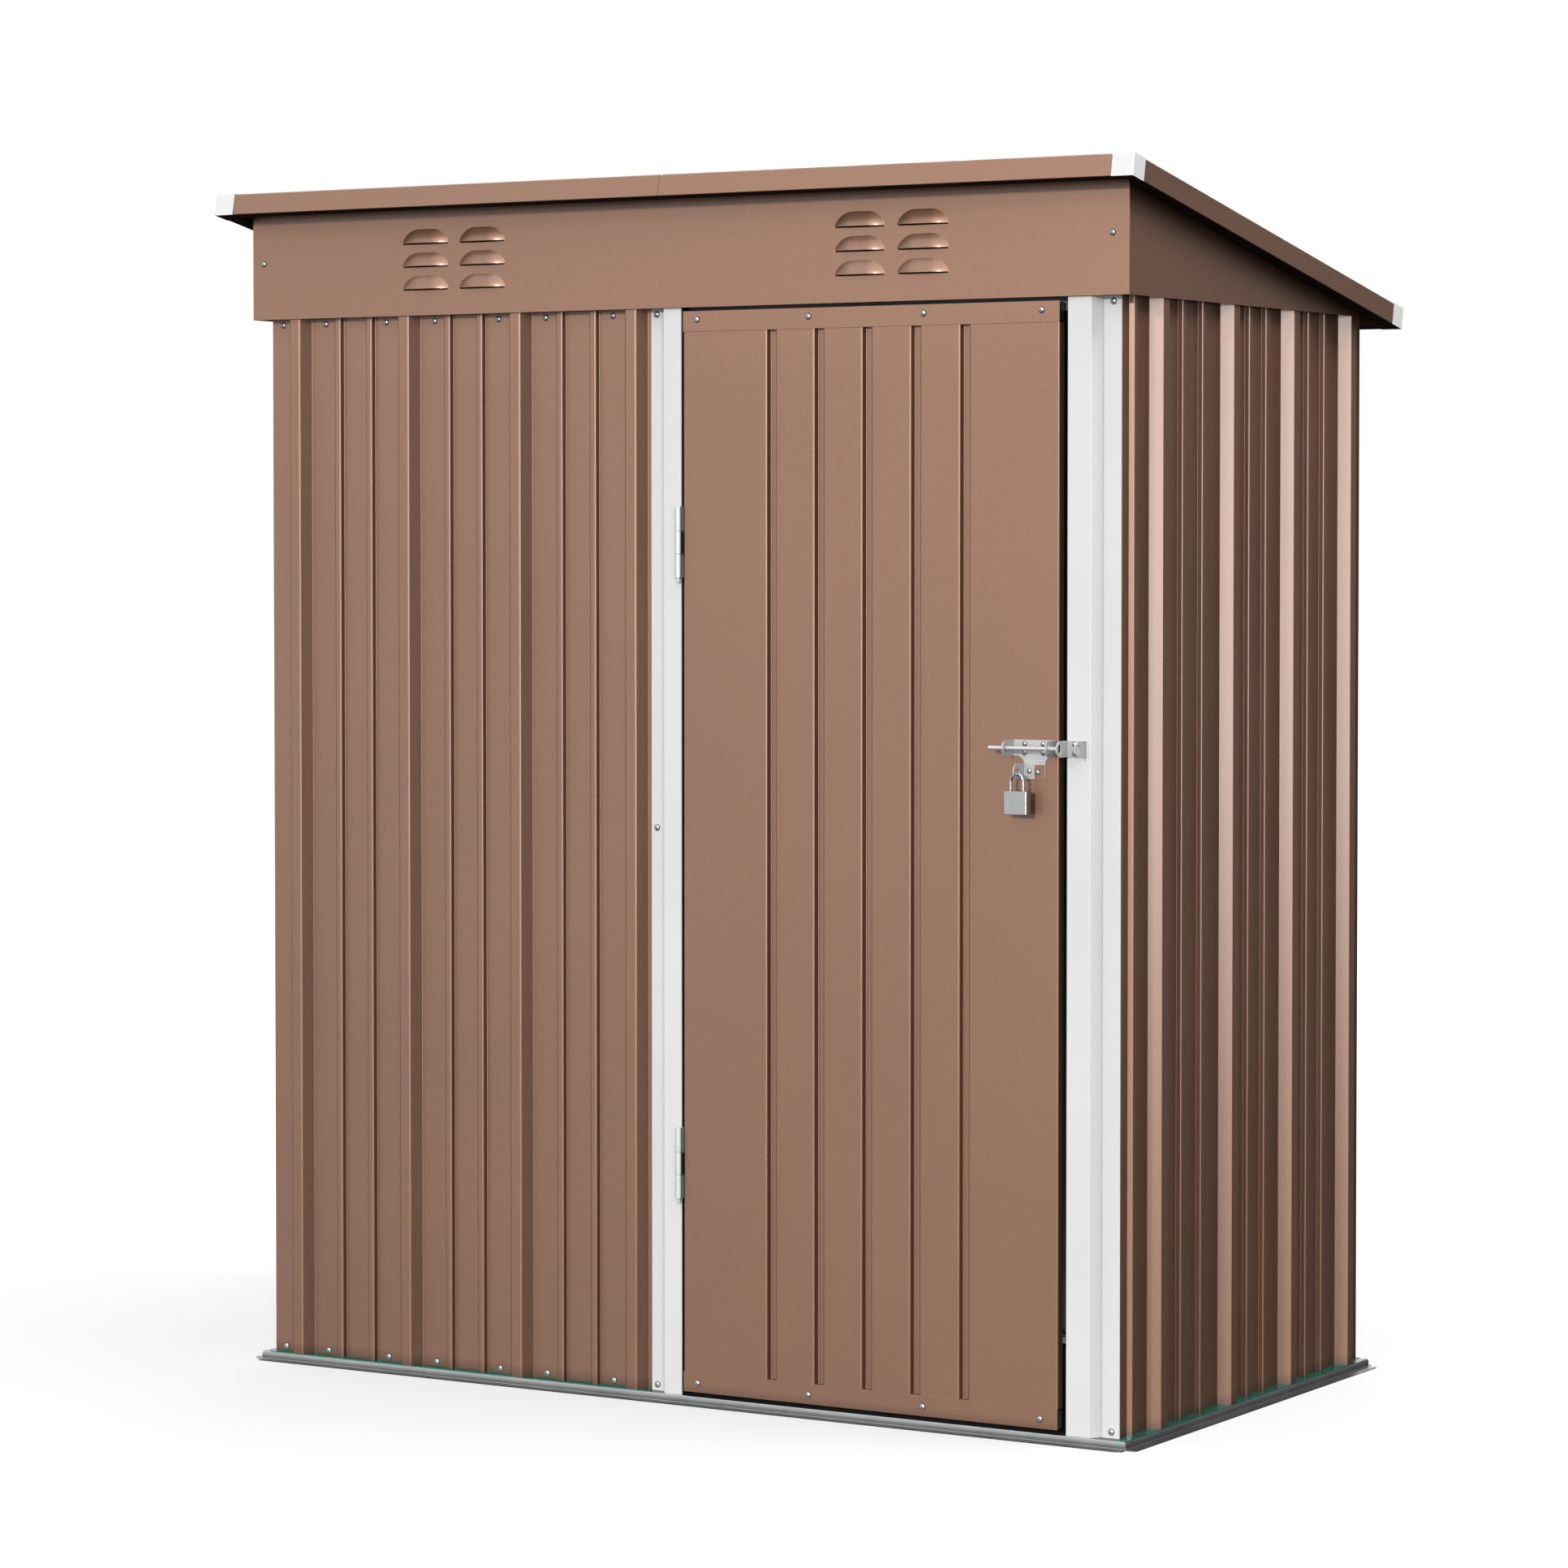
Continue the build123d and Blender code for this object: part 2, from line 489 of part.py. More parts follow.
sr, cr = 2.5, 10.05
zc = LOCK_Z - cr
base = Vector(px(LOCK_X), py(LOCK_Y), 0)
path = Polyline([(base.X - cr, base.Y, 921.5), (base.X - cr, base.Y, zc)]) + \
    ThreePointArc((base.X - cr, base.Y, zc), (base.X, base.Y, LOCK_Z), (base.X + cr, base.Y, zc)) + \
    Polyline([(base.X + cr, base.Y, zc), (base.X + cr, base.Y, 921.5)])
prof = Plane(origin=(base.X - cr, base.Y, 921.5), z_dir=(0, 0, 1)) * Circle(sr)
nodes["padlock_shackle"] = sweep(prof, path=path)

for name, shape in nodes.items():
    export_step(shape, f"parts/{name}.step")
print(len(nodes), "nodes; origin shift", round(OX, 2), round(OY, 2))
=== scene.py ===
import bmesh
import bpy
import math
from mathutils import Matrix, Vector


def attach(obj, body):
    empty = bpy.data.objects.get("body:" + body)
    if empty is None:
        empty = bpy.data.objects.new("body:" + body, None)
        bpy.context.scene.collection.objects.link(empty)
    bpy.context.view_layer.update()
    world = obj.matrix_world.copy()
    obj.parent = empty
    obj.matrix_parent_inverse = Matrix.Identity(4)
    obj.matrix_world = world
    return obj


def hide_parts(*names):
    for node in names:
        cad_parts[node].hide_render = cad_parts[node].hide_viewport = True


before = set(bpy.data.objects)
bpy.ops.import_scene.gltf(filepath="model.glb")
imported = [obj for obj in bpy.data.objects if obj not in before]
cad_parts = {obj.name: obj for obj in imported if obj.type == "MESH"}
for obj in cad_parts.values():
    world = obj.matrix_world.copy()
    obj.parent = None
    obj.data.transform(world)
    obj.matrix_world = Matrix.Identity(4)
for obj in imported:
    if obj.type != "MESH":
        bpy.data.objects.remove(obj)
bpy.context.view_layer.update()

# ---------------------------------------------------------------- sizes, in mm, as in the CAD
# Corner coordinates: X from the right edge of the ground flange (negative to the left),
# Y from its front edge, Z up. W() turns them into the part's frame in metres.
FLANGE, RAIL_H, RAIL_IN, RAIL_T, GAP = 15.0, 12.4, 62.0, 1.2, 0.7
BASE_W, BASE_D = 1539.5, 851.7
TROUGH, RIB_D, RIB_RUN, RIB_TOP = 34.0, 18.0, 11.0, 18.0
MINI_D, MINI_RUN, MINI_TOP = 8.2, 1.5, 10.8
SHEET_T, WALL_BOT, WALL_TOP = 0.8, 13.2, 1621.0
FASCIA_IN, FASCIA_BOT = 12.0, 1615.8
ROOF_Y0, ROOF_Z0, ROOF_L = -45.2, 1776.0, 923.1
ROOF_X0, ROOF_X1 = -1560.9, 21.4
TRIM_H, TRIM_TOP, TRIM_BOT, SHEET_N, ROOF_RIB = 32.3, 18.0, 20.0, 17.0, 12.0
CAP, CAP_T = 34.0, 1.0
DOOR_L, DOOR_R, DOOR_BOT, DOOR_TOP, DOOR_Y = -746.6, -123.1, 19.0, 1610.4, 15.0
GROOVES = [(-603.3, -587.8), (-523.1, -507.6), (-443.0, -427.5), (-362.8, -347.3), (-282.6, -267.1)]
GROOVE_D, GROOVE_RUN, DOOR_STRIP = 9.0, 1.8, 30.0
HINGE_X, HINGE_Y, HINGE_R = -752.6, 11.0, 5.0
HINGE_Z = [(304.6, 409.0), (1219.6, 1324.7)]
BOLT_Y, BOLT_Z, BOLT_R = -8.5, 982.0, 3.25
LOCK_X, LOCK_Y, LOCK_Z = -178.65, -5.5, 945.4
ca, sa = math.cos(math.radians(11.015)), math.sin(math.radians(11.015))
OX = -(ROOF_X0 + ROOF_X1) / 2
OY = -((ROOF_Y0 - ca - 0.5 * sa) + (ROOF_Y0 + (ROOF_L + 1) * ca + (TRIM_H + 1) * sa)) / 2
SEAM = -769.75


def W(x, y, z):
    return ((x + OX) / 1000, (y + OY) / 1000, z / 1000)


def T(x, v, n):
    """Roof coordinates: v along the slope, n square to it."""
    return (x, ROOF_Y0 + v * ca + n * sa, ROOF_Z0 - v * sa + n * ca)


def under(y, n):
    return ROOF_Z0 - (y - ROOF_Y0) * sa / ca + n / ca


# ---------------------------------------------------------------- materials
def node(nt, kind, **put):
    n = nt.nodes.new(kind)
    for k, v in put.items():
        if k[0] == "i" and k[1:].isdigit():
            n.inputs[int(k[1:])].default_value = v
        elif k in n.inputs:
            n.inputs[k].default_value = v
        else:
            setattr(n, k, v)
    return n


def noise(nt, at, scale, detail=2.0, rough=0.5, stretch=None):
    src = at
    if stretch:
        m = node(nt, "ShaderNodeMapping")
        m.inputs["Scale"].default_value = stretch
        nt.links.new(at, m.inputs["Vector"])
        src = m.outputs[0]
    n = node(nt, "ShaderNodeTexNoise")
    n.inputs["Scale"].default_value = scale
    n.inputs["Detail"].default_value = detail
    n.inputs["Roughness"].default_value = rough
    nt.links.new(src, n.inputs["Vector"])
    return n.outputs["Fac"]


def ramp(nt, fac, stops):
    r = node(nt, "ShaderNodeValToRGB")
    e = r.color_ramp.elements
    while len(e) < len(stops):
        e.new(0.5)
    for el, (pos, col) in zip(e, stops):
        el.position = pos
        el.color = (*col, 1.0) if len(col) == 3 else col
    nt.links.new(fac, r.inputs[0])
    return r.outputs[0]


def spread(nt, fac, lo, hi, a=0.3, b=0.7):
    m = node(nt, "ShaderNodeMapRange")
    m.inputs["From Min"].default_value, m.inputs["From Max"].default_value = a, b
    m.inputs["To Min"].default_value, m.inputs["To Max"].default_value = lo, hi
    nt.links.new(fac, m.inputs["Value"])
    return m.outputs[0]


def mixed(nt, kind, fac, a, b):
    m = node(nt, "ShaderNodeMix", data_type="RGBA", blend_type=kind)
    if isinstance(fac, float):
        m.inputs[0].default_value = fac
    else:
        nt.links.new(fac, m.inputs[0])
    for sock, v in ((m.inputs[6], a), (m.inputs[7], b)):
        if isinstance(v, tuple):
            sock.default_value = (*v, 1.0)
        else:
            nt.links.new(v, sock)
    return m.outputs[2]


def summed(nt, a, b, kind="ADD"):
    m = node(nt, "ShaderNodeMath", operation=kind)
    nt.links.new(a, m.inputs[0])
    if isinstance(b, float):
        m.inputs[1].default_value = b
    else:
        nt.links.new(b, m.inputs[1])
    return m.outputs[0]


def finish_mat(name, colour, metallic, rough, bump=None, **fixed):
    """colour, rough and bump are functions of (tree, position output)."""
    m = bpy.data.materials.new(name)
    m.use_nodes = True
    nt = m.node_tree
    p = nt.nodes["Principled BSDF"]
    at = node(nt, "ShaderNodeTexCoord").outputs["Object"]
    nt.links.new(colour(nt, at), p.inputs["Base Color"])
    nt.links.new(rough(nt, at), p.inputs["Roughness"])
    p.inputs["Metallic"].default_value = metallic
    for k, v in fixed.items():
        p.inputs[k.replace("_", " ")].default_value = v
    if bump:
        height, strength, dist = bump(nt, at)
        b = node(nt, "ShaderNodeBump")
        b.inputs["Strength"].default_value = strength
        b.inputs["Distance"].default_value = dist
        nt.links.new(height, b.inputs["Height"])
        nt.links.new(b.outputs[0], p.inputs["Normal"])
    return m


def shade(c, k):
    return tuple(x * k for x in c)


BROWN = (0.445, 0.232, 0.143)


def brown_colour(nt, at):
    flake = ramp(nt, noise(nt, at, 1400.0, 1.0), [(0.30, shade(BROWN, 0.90)), (0.70, shade(BROWN, 1.10))])
    cloud = ramp(nt, noise(nt, at, 2.6, 3.0), [(0.3, (0.955, 0.955, 0.960)), (0.7, (1.0, 1.0, 1.0))])
    high = node(nt, "ShaderNodeSeparateXYZ")
    nt.links.new(at, high.inputs[0])
    # painted shade by height: walls and door 7% darker below 1.5 m, roof trims 12% darker above 1.77 m, standing in for
    # how the light falls on them
    height_shade = ramp(nt, spread(nt, high.outputs["Z"], 0.0, 1.0, 1.5, 1.9),
                 [(0.0, (0.93, 0.925, 0.92)), (0.30, (1.0, 1.0, 1.0)), (0.60, (1.0, 1.0, 1.0)), (0.68, (0.88, 0.88, 0.885))])
    # painted contact shade along the foot: half as bright below 12 mm, fading out by 32 mm
    foot_shade = ramp(nt, spread(nt, high.outputs["Z"], 0.0, 1.0, 0.012, 0.032), [(0.0, (0.50, 0.49, 0.48)), (1.0, (1.0, 1.0, 1.0))])
    return mixed(nt, "MULTIPLY", 1.0, mixed(nt, "MULTIPLY", 1.0, mixed(nt, "MULTIPLY", 1.0, flake, cloud), height_shade), foot_shade)


def brown_rough(nt, at):
    return summed(nt, spread(nt, noise(nt, at, 5.0, 3.0), 0.535, 0.56), spread(nt, noise(nt, at, 700.0, 1.0), -0.015, 0.015))


def peel(nt, at):
    return noise(nt, at, 260.0, 3.0, 0.55), 0.10, 0.0006


M = {}
M["brown"] = finish_mat("brown_paint", brown_colour, 0.96, brown_rough, peel,
                        Coat_Weight=1.0, Coat_Roughness=0.26, Coat_IOR=1.90)
# near-black brown standing in for the shade under the roof trims: painted shade
M["under"] = finish_mat(
    "brown_painted_shade",
    lambda nt, at: ramp(nt, noise(nt, at, 9.0, 3.0), [(0.3, (0.030, 0.021, 0.016)), (0.7, (0.045, 0.031, 0.024))]),
    0.0,
    lambda nt, at: spread(nt, noise(nt, at, 40.0, 3.0), 0.60, 0.75),
    lambda nt, at: (noise(nt, at, 260.0, 3.0), 0.08, 0.0005), Specular_IOR_Level=0.15)
M["white"] = finish_mat(
    "white_paint",
    lambda nt, at: ramp(nt, noise(nt, at, 3.2, 4.0), [(0.3, (0.775, 0.775, 0.775)), (0.7, (0.810, 0.810, 0.810))]),
    0.0,
    lambda nt, at: spread(nt, noise(nt, at, 6.0, 3.0), 0.34, 0.44),
    lambda nt, at: (noise(nt, at, 300.0, 3.0), 0.08, 0.0005), Specular_IOR_Level=0.45)
M["cap"] = finish_mat(
    "white_cap",
    lambda nt, at: ramp(nt, noise(nt, at, 9.0, 4.0), [(0.3, (0.800, 0.800, 0.800)), (0.7, (0.830, 0.830, 0.830))]),
    0.0,
    lambda nt, at: spread(nt, noise(nt, at, 20.0, 3.0), 0.34, 0.44),
    lambda nt, at: (noise(nt, at, 300.0, 3.0), 0.06, 0.0004), Specular_IOR_Level=0.45)
M["back"] = finish_mat(
    "grey_backcoat",
    lambda nt, at: ramp(nt, noise(nt, at, 4.0, 4.0), [(0.3, (0.40, 0.405, 0.41)), (0.7, (0.46, 0.465, 0.47))]),
    0.0,
    lambda nt, at: spread(nt, noise(nt, at, 8.0, 3.0), 0.42, 0.58),
    lambda nt, at: (noise(nt, at, 350.0, 3.0), 0.10, 0.0005))


def zinc_colour(lo, hi, scale):
    def make(nt, at):
        v = node(nt, "ShaderNodeTexVoronoi")
        v.inputs["Scale"].default_value = scale
        nt.links.new(at, v.inputs["Vector"])
        spangle = ramp(nt, v.outputs["Color"], [(0.0, lo), (1.0, hi)])
        cloud = ramp(nt, noise(nt, at, 14.0, 4.0), [(0.25, (0.86, 0.865, 0.875)), (0.7, (1.0, 1.0, 1.0))])
        return mixed(nt, "MULTIPLY", 1.0, spangle, cloud)
    return make


def hinge_colour(nt, at):
    side = node(nt, "ShaderNodeSeparateXYZ")
    nt.links.new(at, side.inputs[0])
    x0 = (HINGE_X + OX) / 1000
    # painted light and shade across the barrel, by X: a dark shadow line on its left, a white highlight, a teal
    # reflection on its right side and a black shadow in the gap beyond
    barrel_shading = ramp(nt, spread(nt, side.outputs["X"], 0.0, 1.0, x0 - 0.005, x0 + 0.0065),
                [(0.06, (0.30, 0.31, 0.31)), (0.10, (0.90, 0.92, 0.91)), (0.80, (0.90, 0.92, 0.91)), (0.84, (0.24, 0.46, 0.39)),
                 (0.875, (0.20, 0.40, 0.34)), (0.90, (0.03, 0.045, 0.04))])
    cloud = ramp(nt, noise(nt, at, 90.0, 3.0), [(0.25, (0.94, 0.95, 0.95)), (0.7, (1.0, 1.0, 1.0))])
    return mixed(nt, "MULTIPLY", 1.0, barrel_shading, cloud)


M["galv"] = finish_mat(
    "galvanised", zinc_colour((0.60, 0.605, 0.61), (0.64, 0.645, 0.65), 130.0), 1.0,
    lambda nt, at: summed(nt, spread(nt, noise(nt, at, 30.0, 3.0), 0.30, 0.34), spread(nt, noise(nt, at, 400.0, 2.0), -0.01, 0.01)),
    lambda nt, at: (noise(nt, at, 180.0, 4.0), 0.015, 0.0003))
# darkened copy of the galvanised steel for the frame inside the shed: painted shade
M["inner"] = finish_mat(
    "galvanised_painted_shade", zinc_colour((0.13, 0.132, 0.135), (0.17, 0.172, 0.175), 130.0), 0.55,
    lambda nt, at: summed(nt, spread(nt, noise(nt, at, 30.0, 3.0), 0.50, 0.60), spread(nt, noise(nt, at, 400.0, 2.0), -0.02, 0.02)),
    lambda nt, at: (noise(nt, at, 180.0, 4.0), 0.02, 0.0003))
M["hinge"] = finish_mat(
    "zinc_hinge", hinge_colour, 0.30,
    lambda nt, at: spread(nt, noise(nt, at, 120.0, 3.0), 0.30, 0.36),
    lambda nt, at: (noise(nt, at, 600.0, 3.0), 0.02, 0.0002))
M["latch"] = finish_mat(
    "latch_steel", zinc_colour((0.80, 0.80, 0.80), (0.88, 0.88, 0.88), 420.0), 0.50,
    lambda nt, at: summed(nt, spread(nt, noise(nt, at, 60.0, 3.0), 0.28, 0.36), spread(nt, noise(nt, at, 900.0, 2.0), -0.03, 0.03)),
    lambda nt, at: (noise(nt, at, 700.0, 3.0), 0.05, 0.0003))
M["screw"] = finish_mat(
    "screw_zinc", zinc_colour((0.80, 0.805, 0.81), (0.90, 0.90, 0.90), 900.0), 0.80,
    lambda nt, at: spread(nt, noise(nt, at, 300.0, 3.0), 0.18, 0.28),
    lambda nt, at: (noise(nt, at, 1200.0, 2.0), 0.05, 0.0002))
M["case"] = finish_mat(
    "lock_case",
    lambda nt, at: ramp(nt, noise(nt, at, 900.0, 3.0, 0.6, (1.0, 1.0, 0.02)), [(0.3, (0.70, 0.71, 0.72)), (0.7, (0.80, 0.805, 0.81))]),
    1.0,
    lambda nt, at: spread(nt, noise(nt, at, 1100.0, 2.0, 0.5, (1.0, 1.0, 0.02)), 0.28, 0.36),
    lambda nt, at: (noise(nt, at, 1300.0, 2.0, 0.5, (1.0, 1.0, 0.015)), 0.06, 0.0002))
M["shackle"] = finish_mat(
    "lock_shackle",
    lambda nt, at: ramp(nt, noise(nt, at, 260.0, 3.0), [(0.3, (0.80, 0.805, 0.81)), (0.7, (0.88, 0.885, 0.89))]),
    1.0,
    lambda nt, at: spread(nt, noise(nt, at, 400.0, 3.0), 0.12, 0.20))
M["green"] = finish_mat(
    "green_strip",
    lambda nt, at: ramp(nt, noise(nt, at, 60.0, 3.0, 0.5, (0.3, 0.3, 1.0)), [(0.3, (0.15, 0.78, 0.62)), (0.7, (0.20, 0.92, 0.74))]),
    0.88,
    lambda nt, at: spread(nt, noise(nt, at, 90.0, 3.0), 0.08, 0.16),
    lambda nt, at: (noise(nt, at, 120.0, 3.0), 0.08, 0.0004))
# near-black: the screws' rubber washers, and painted shade in holes, in the door gap and along the base rails' edge on
# the floor
M["dark"] = finish_mat(
    "black_rubber_and_painted_shade",
    lambda nt, at: ramp(nt, noise(nt, at, 800.0, 2.0), [(0.3, (0.010, 0.007, 0.006)), (0.7, (0.022, 0.016, 0.013))]),
    0.0,
    lambda nt, at: spread(nt, noise(nt, at, 500.0, 2.0), 0.65, 0.85))


# ---------------------------------------------------------------- mesh helpers
def left_of(line, h):
    seg = []
    for (ax, ay), (bx, by) in zip(line, line[1:]):
        d = math.hypot(bx - ax, by - ay)
        seg.append(((bx - ax) / d, (by - ay) / d))
    off = []
    for i, (x, y) in enumerate(line):
        a, b = seg[max(i - 1, 0)], seg[min(i, len(line) - 2)]
        mx, my = -a[1] - b[1], a[0] + b[0]
        k = 2 * h / (mx * mx + my * my)
        off.append((x + mx * k, y + my * k))
    return off, seg


def midline(line, t, r, step=14.0):
    """(point, left normal) along the middle of a folded sheet whose bends are rounded.
    line is one face, t the thickness to its left (negative: to its right)."""
    mid, seg = left_of(line, t / 2)
    out, n = [], len(mid)
    for i, p in enumerate(mid):
        if i in (0, n - 1):
            s = seg[0] if i == 0 else seg[-1]
            out.append((p, (-s[1], s[0])))
            continue
        a, b = seg[i - 1], seg[i]
        turn = math.atan2(a[0] * b[1] - a[1] * b[0], a[0] * b[0] + a[1] * b[1])
        if abs(turn) < 1e-5:
            out.append((p, (-a[1], a[0])))
            continue
        la = math.dist(mid[i - 1], p) * (1.0 if i == 1 else 0.5)
        lb = math.dist(p, mid[i + 1]) * (1.0 if i == n - 2 else 0.5)
        rr = min(r + abs(t) / 2, 0.97 * min(la, lb) / math.tan(abs(turn) / 2))
        tl = rr * math.tan(abs(turn) / 2)
        s = 1 if turn > 0 else -1
        sx, sy = p[0] - a[0] * tl, p[1] - a[1] * tl
        cx, cy = sx - a[1] * rr * s, sy + a[0] * rr * s
        k = max(3, math.ceil(abs(turn) / math.radians(step)))
        for j in range(k + 1):
            g = turn * j / k
            nx = -a[1] * math.cos(g) - a[0] * math.sin(g)
            ny = -a[1] * math.sin(g) + a[0] * math.cos(g)
            out.append(((cx - nx * rr * s, cy - ny * rr * s), (nx, ny)))
    return out


def rolled(line, wide, ang, side=1):
    """Gives a folded profile's outer bends a narrow flat at ang from the wall's own plane.
    side is 1 where the outer face lies to the right of the line's direction, else -1."""
    out = [line[0]]
    for p0, p1, p2 in zip(line, line[1:], line[2:]):
        a = ((p1[0] - p0[0]), (p1[1] - p0[1]))
        b = ((p2[0] - p1[0]), (p2[1] - p1[1]))
        la, lb = math.hypot(*a), math.hypot(*b)
        a, b = (a[0] / la, a[1] / la), (b[0] / lb, b[1] / lb)
        turn = math.degrees(math.atan2(a[0] * b[1] - a[1] * b[0], a[0] * b[0] + a[1] * b[1])) * side
        if turn < ang + 8:
            out.append(p1)
            continue
        flat_first = max(abs(a[0]), abs(a[1])) > max(abs(b[0]), abs(b[1]))
        rest = turn - ang
        near = wide * math.sin(math.radians(rest)) / math.sin(math.radians(turn))
        far = wide * math.sin(math.radians(ang)) / math.sin(math.radians(turn))
        da, db = (near, far) if flat_first else (far, near)
        out += [(p1[0] - a[0] * da, p1[1] - a[1] * da), (p1[0] + b[0] * db, p1[1] + b[1] * db)]
    return out + [line[-1]]


class Piece:
    """One visible piece: a mesh in the part's frame that is built up and then finished."""

    def __init__(self, name, *mats, body="shell", replaces=()):
        self.name, self.mats, self.body, self.gone = name, mats, body, replaces
        self.bm = bmesh.new()

    def sheet(self, line, t, r, place, w0, w1, left=0, right=0, rim=0):
        """A folded sheet along w. left and right are the material numbers of its two sides, or
        functions that give them from the place on the profile; rim is its first edge's."""
        bm, rows, mids = self.bm, [], []
        h = abs(t) / 2
        for (u, v), (nu, nv) in midline(line, t, r):
            mids.append((u, v))
            q = []
            for s in (1, -1):
                a, b = u + s * nu * h, v + s * nv * h
                for w in (w0, w1):
                    q.append(bm.verts.new(W(*place(a, b, w(a, b) if callable(w) else w))))
            rows.append(q)
        new = []

        def face(vs, m):
            f = bm.faces.new(vs)
            f.material_index = m
            new.append(f)

        for a, b, p0, p1 in zip(rows, rows[1:], mids, mids[1:]):
            at = ((p0[0] + p1[0]) / 2, (p0[1] + p1[1]) / 2)
            face((a[0], b[0], b[1], a[1]), left(*at) if callable(left) else left)
            face((a[2], a[3], b[3], b[2]), right(*at) if callable(right) else right)
            face((a[0], a[2], b[2], b[0]), 0)
            face((a[1], b[1], b[3], a[3]), 0)
        a, b = rows[0], rows[-1]
        face((a[0], a[1], a[3], a[2]), rim)
        face((b[0], b[2], b[3], b[1]), 0)
        bmesh.ops.recalc_face_normals(bm, faces=new)
        return self

    def block(self, x0, x1, y0, y1, z0, z1, bevel=0.3, segs=2, place=lambda x, y, z: (x, y, z), m=0):
        part = bmesh.new()
        bmesh.ops.create_cube(part, size=1.0)
        for v in part.verts:
            v.co = (x0 + (x1 - x0) * (v.co.x + 0.5), y0 + (y1 - y0) * (v.co.y + 0.5), z0 + (z1 - z0) * (v.co.z + 0.5))
        if bevel:
            bmesh.ops.bevel(part, geom=part.edges[:], offset=bevel, segments=segs, profile=0.5, affect="EDGES")
        self.take(part, place, m)
        return self

    def take(self, part, place, m=0):
        """Adds a scratch bmesh whose coordinates are in mm, through place."""
        new = {}
        for v in part.verts:
            new[v] = self.bm.verts.new(W(*place(*v.co)))
        fs = []
        for f in part.faces:
            try:
                g = self.bm.faces.new([new[v] for v in f.verts])
            except ValueError:
                continue
            g.material_index = m if m is not None else f.material_index
            fs.append(g)
        bmesh.ops.recalc_face_normals(self.bm, faces=fs)
        part.free()

    def lathe(self, profile, place, segs=24, m=0):
        """profile is (radius, height) from one end on the axis to the other; place takes (a, b, height)."""
        part = bmesh.new()
        rings = []
        for r, h in profile:
            if r < 1e-6:
                rings.append([part.verts.new((0, 0, h))])
            else:
                rings.append([part.verts.new((r * math.cos(2 * math.pi * k / segs), r * math.sin(2 * math.pi * k / segs), h)) for k in range(segs)])
        for a, b in zip(rings, rings[1:]):
            for k in range(segs):
                k2 = (k + 1) % segs
                if len(a) == 1 and len(b) == 1:
                    continue
                if len(a) == 1:
                    part.faces.new((a[0], b[k], b[k2]))
                elif len(b) == 1:
                    part.faces.new((a[k], a[k2], b[0]))
                else:
                    part.faces.new((a[k], a[k2], b[k2], b[k]))
        self.take(part, place, m)
        return self

    def plate(self, loops, t, bevel, place, m=0, res=2):
        """A flat plate from 0 to t in its third coordinate, from closed outlines (the first is the
        outer one, the rest are holes), with rounded rims."""
        cu = bpy.data.curves.new("scratch", "CURVE")
        cu.dimensions, cu.fill_mode = "2D", "BOTH"
        for loop in loops:
            sp = cu.splines.new("POLY")
            sp.points.add(len(loop) - 1)
            for p, (x, y) in zip(sp.points, loop):
                p.co = (x, y, 0, 1)
            sp.use_cyclic_u = True
        cu.extrude, cu.bevel_depth, cu.bevel_resolution, cu.offset = t / 2 - bevel, bevel, res, -bevel
        ob = bpy.data.objects.new("scratch", cu)
        bpy.context.scene.collection.objects.link(ob)
        bpy.context.view_layer.update()
        me = bpy.data.meshes.new_from_object(ob.evaluated_get(bpy.context.evaluated_depsgraph_get()))
        part = bmesh.new()
        part.from_mesh(me)
        for v in part.verts:
            v.co.z += t / 2
        bmesh.ops.remove_doubles(part, verts=part.verts[:], dist=1e-4)
        bpy.data.objects.remove(ob)
        bpy.data.curves.remove(cu)
        bpy.data.meshes.remove(me)
        self.take(part, place, m)
        return self

    def copy(self, me, place, m=0):
        part = bmesh.new()
        part.from_mesh(me)
        self.take(part, place, m)
        return self

    def done(self, angle=32.0):
        me = bpy.data.meshes.new(self.name)
        for f in self.bm.faces:
            f.smooth = True
        for e in self.bm.edges:
            if len(e.link_faces) != 2 or e.calc_face_angle(0.0) > math.radians(angle):
                e.smooth = False
        self.bm.to_mesh(me)
        self.bm.free()
        for k in self.mats:
            me.materials.append(M[k])
        ob = bpy.data.objects.new(self.name, me)
        bpy.context.scene.collection.objects.link(ob)
        w = ob.modifiers.new("normals", "WEIGHTED_NORMAL")
        w.keep_sharp, w.weight = True, 60
        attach(ob, self.body)
        if self.gone:
            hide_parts(*self.gone)
        return ob


def circle(x, y, r, n=24):
    return [(x + r * math.cos(2 * math.pi * k / n), y + r * math.sin(2 * math.pi * k / n)) for k in range(n)]


def slot_loop(x, y, w, h, n=10):
    """Upright slot of half width w and half height h."""
    up = [(x + w * math.cos(math.pi * k / n), y + (h - w) + w * math.sin(math.pi * k / n)) for k in range(n + 1)]
    dn = [(x + w * math.cos(math.pi + math.pi * k / n), y - (h - w) + w * math.sin(math.pi + math.pi * k / n)) for k in range(n + 1)]
    return up + dn


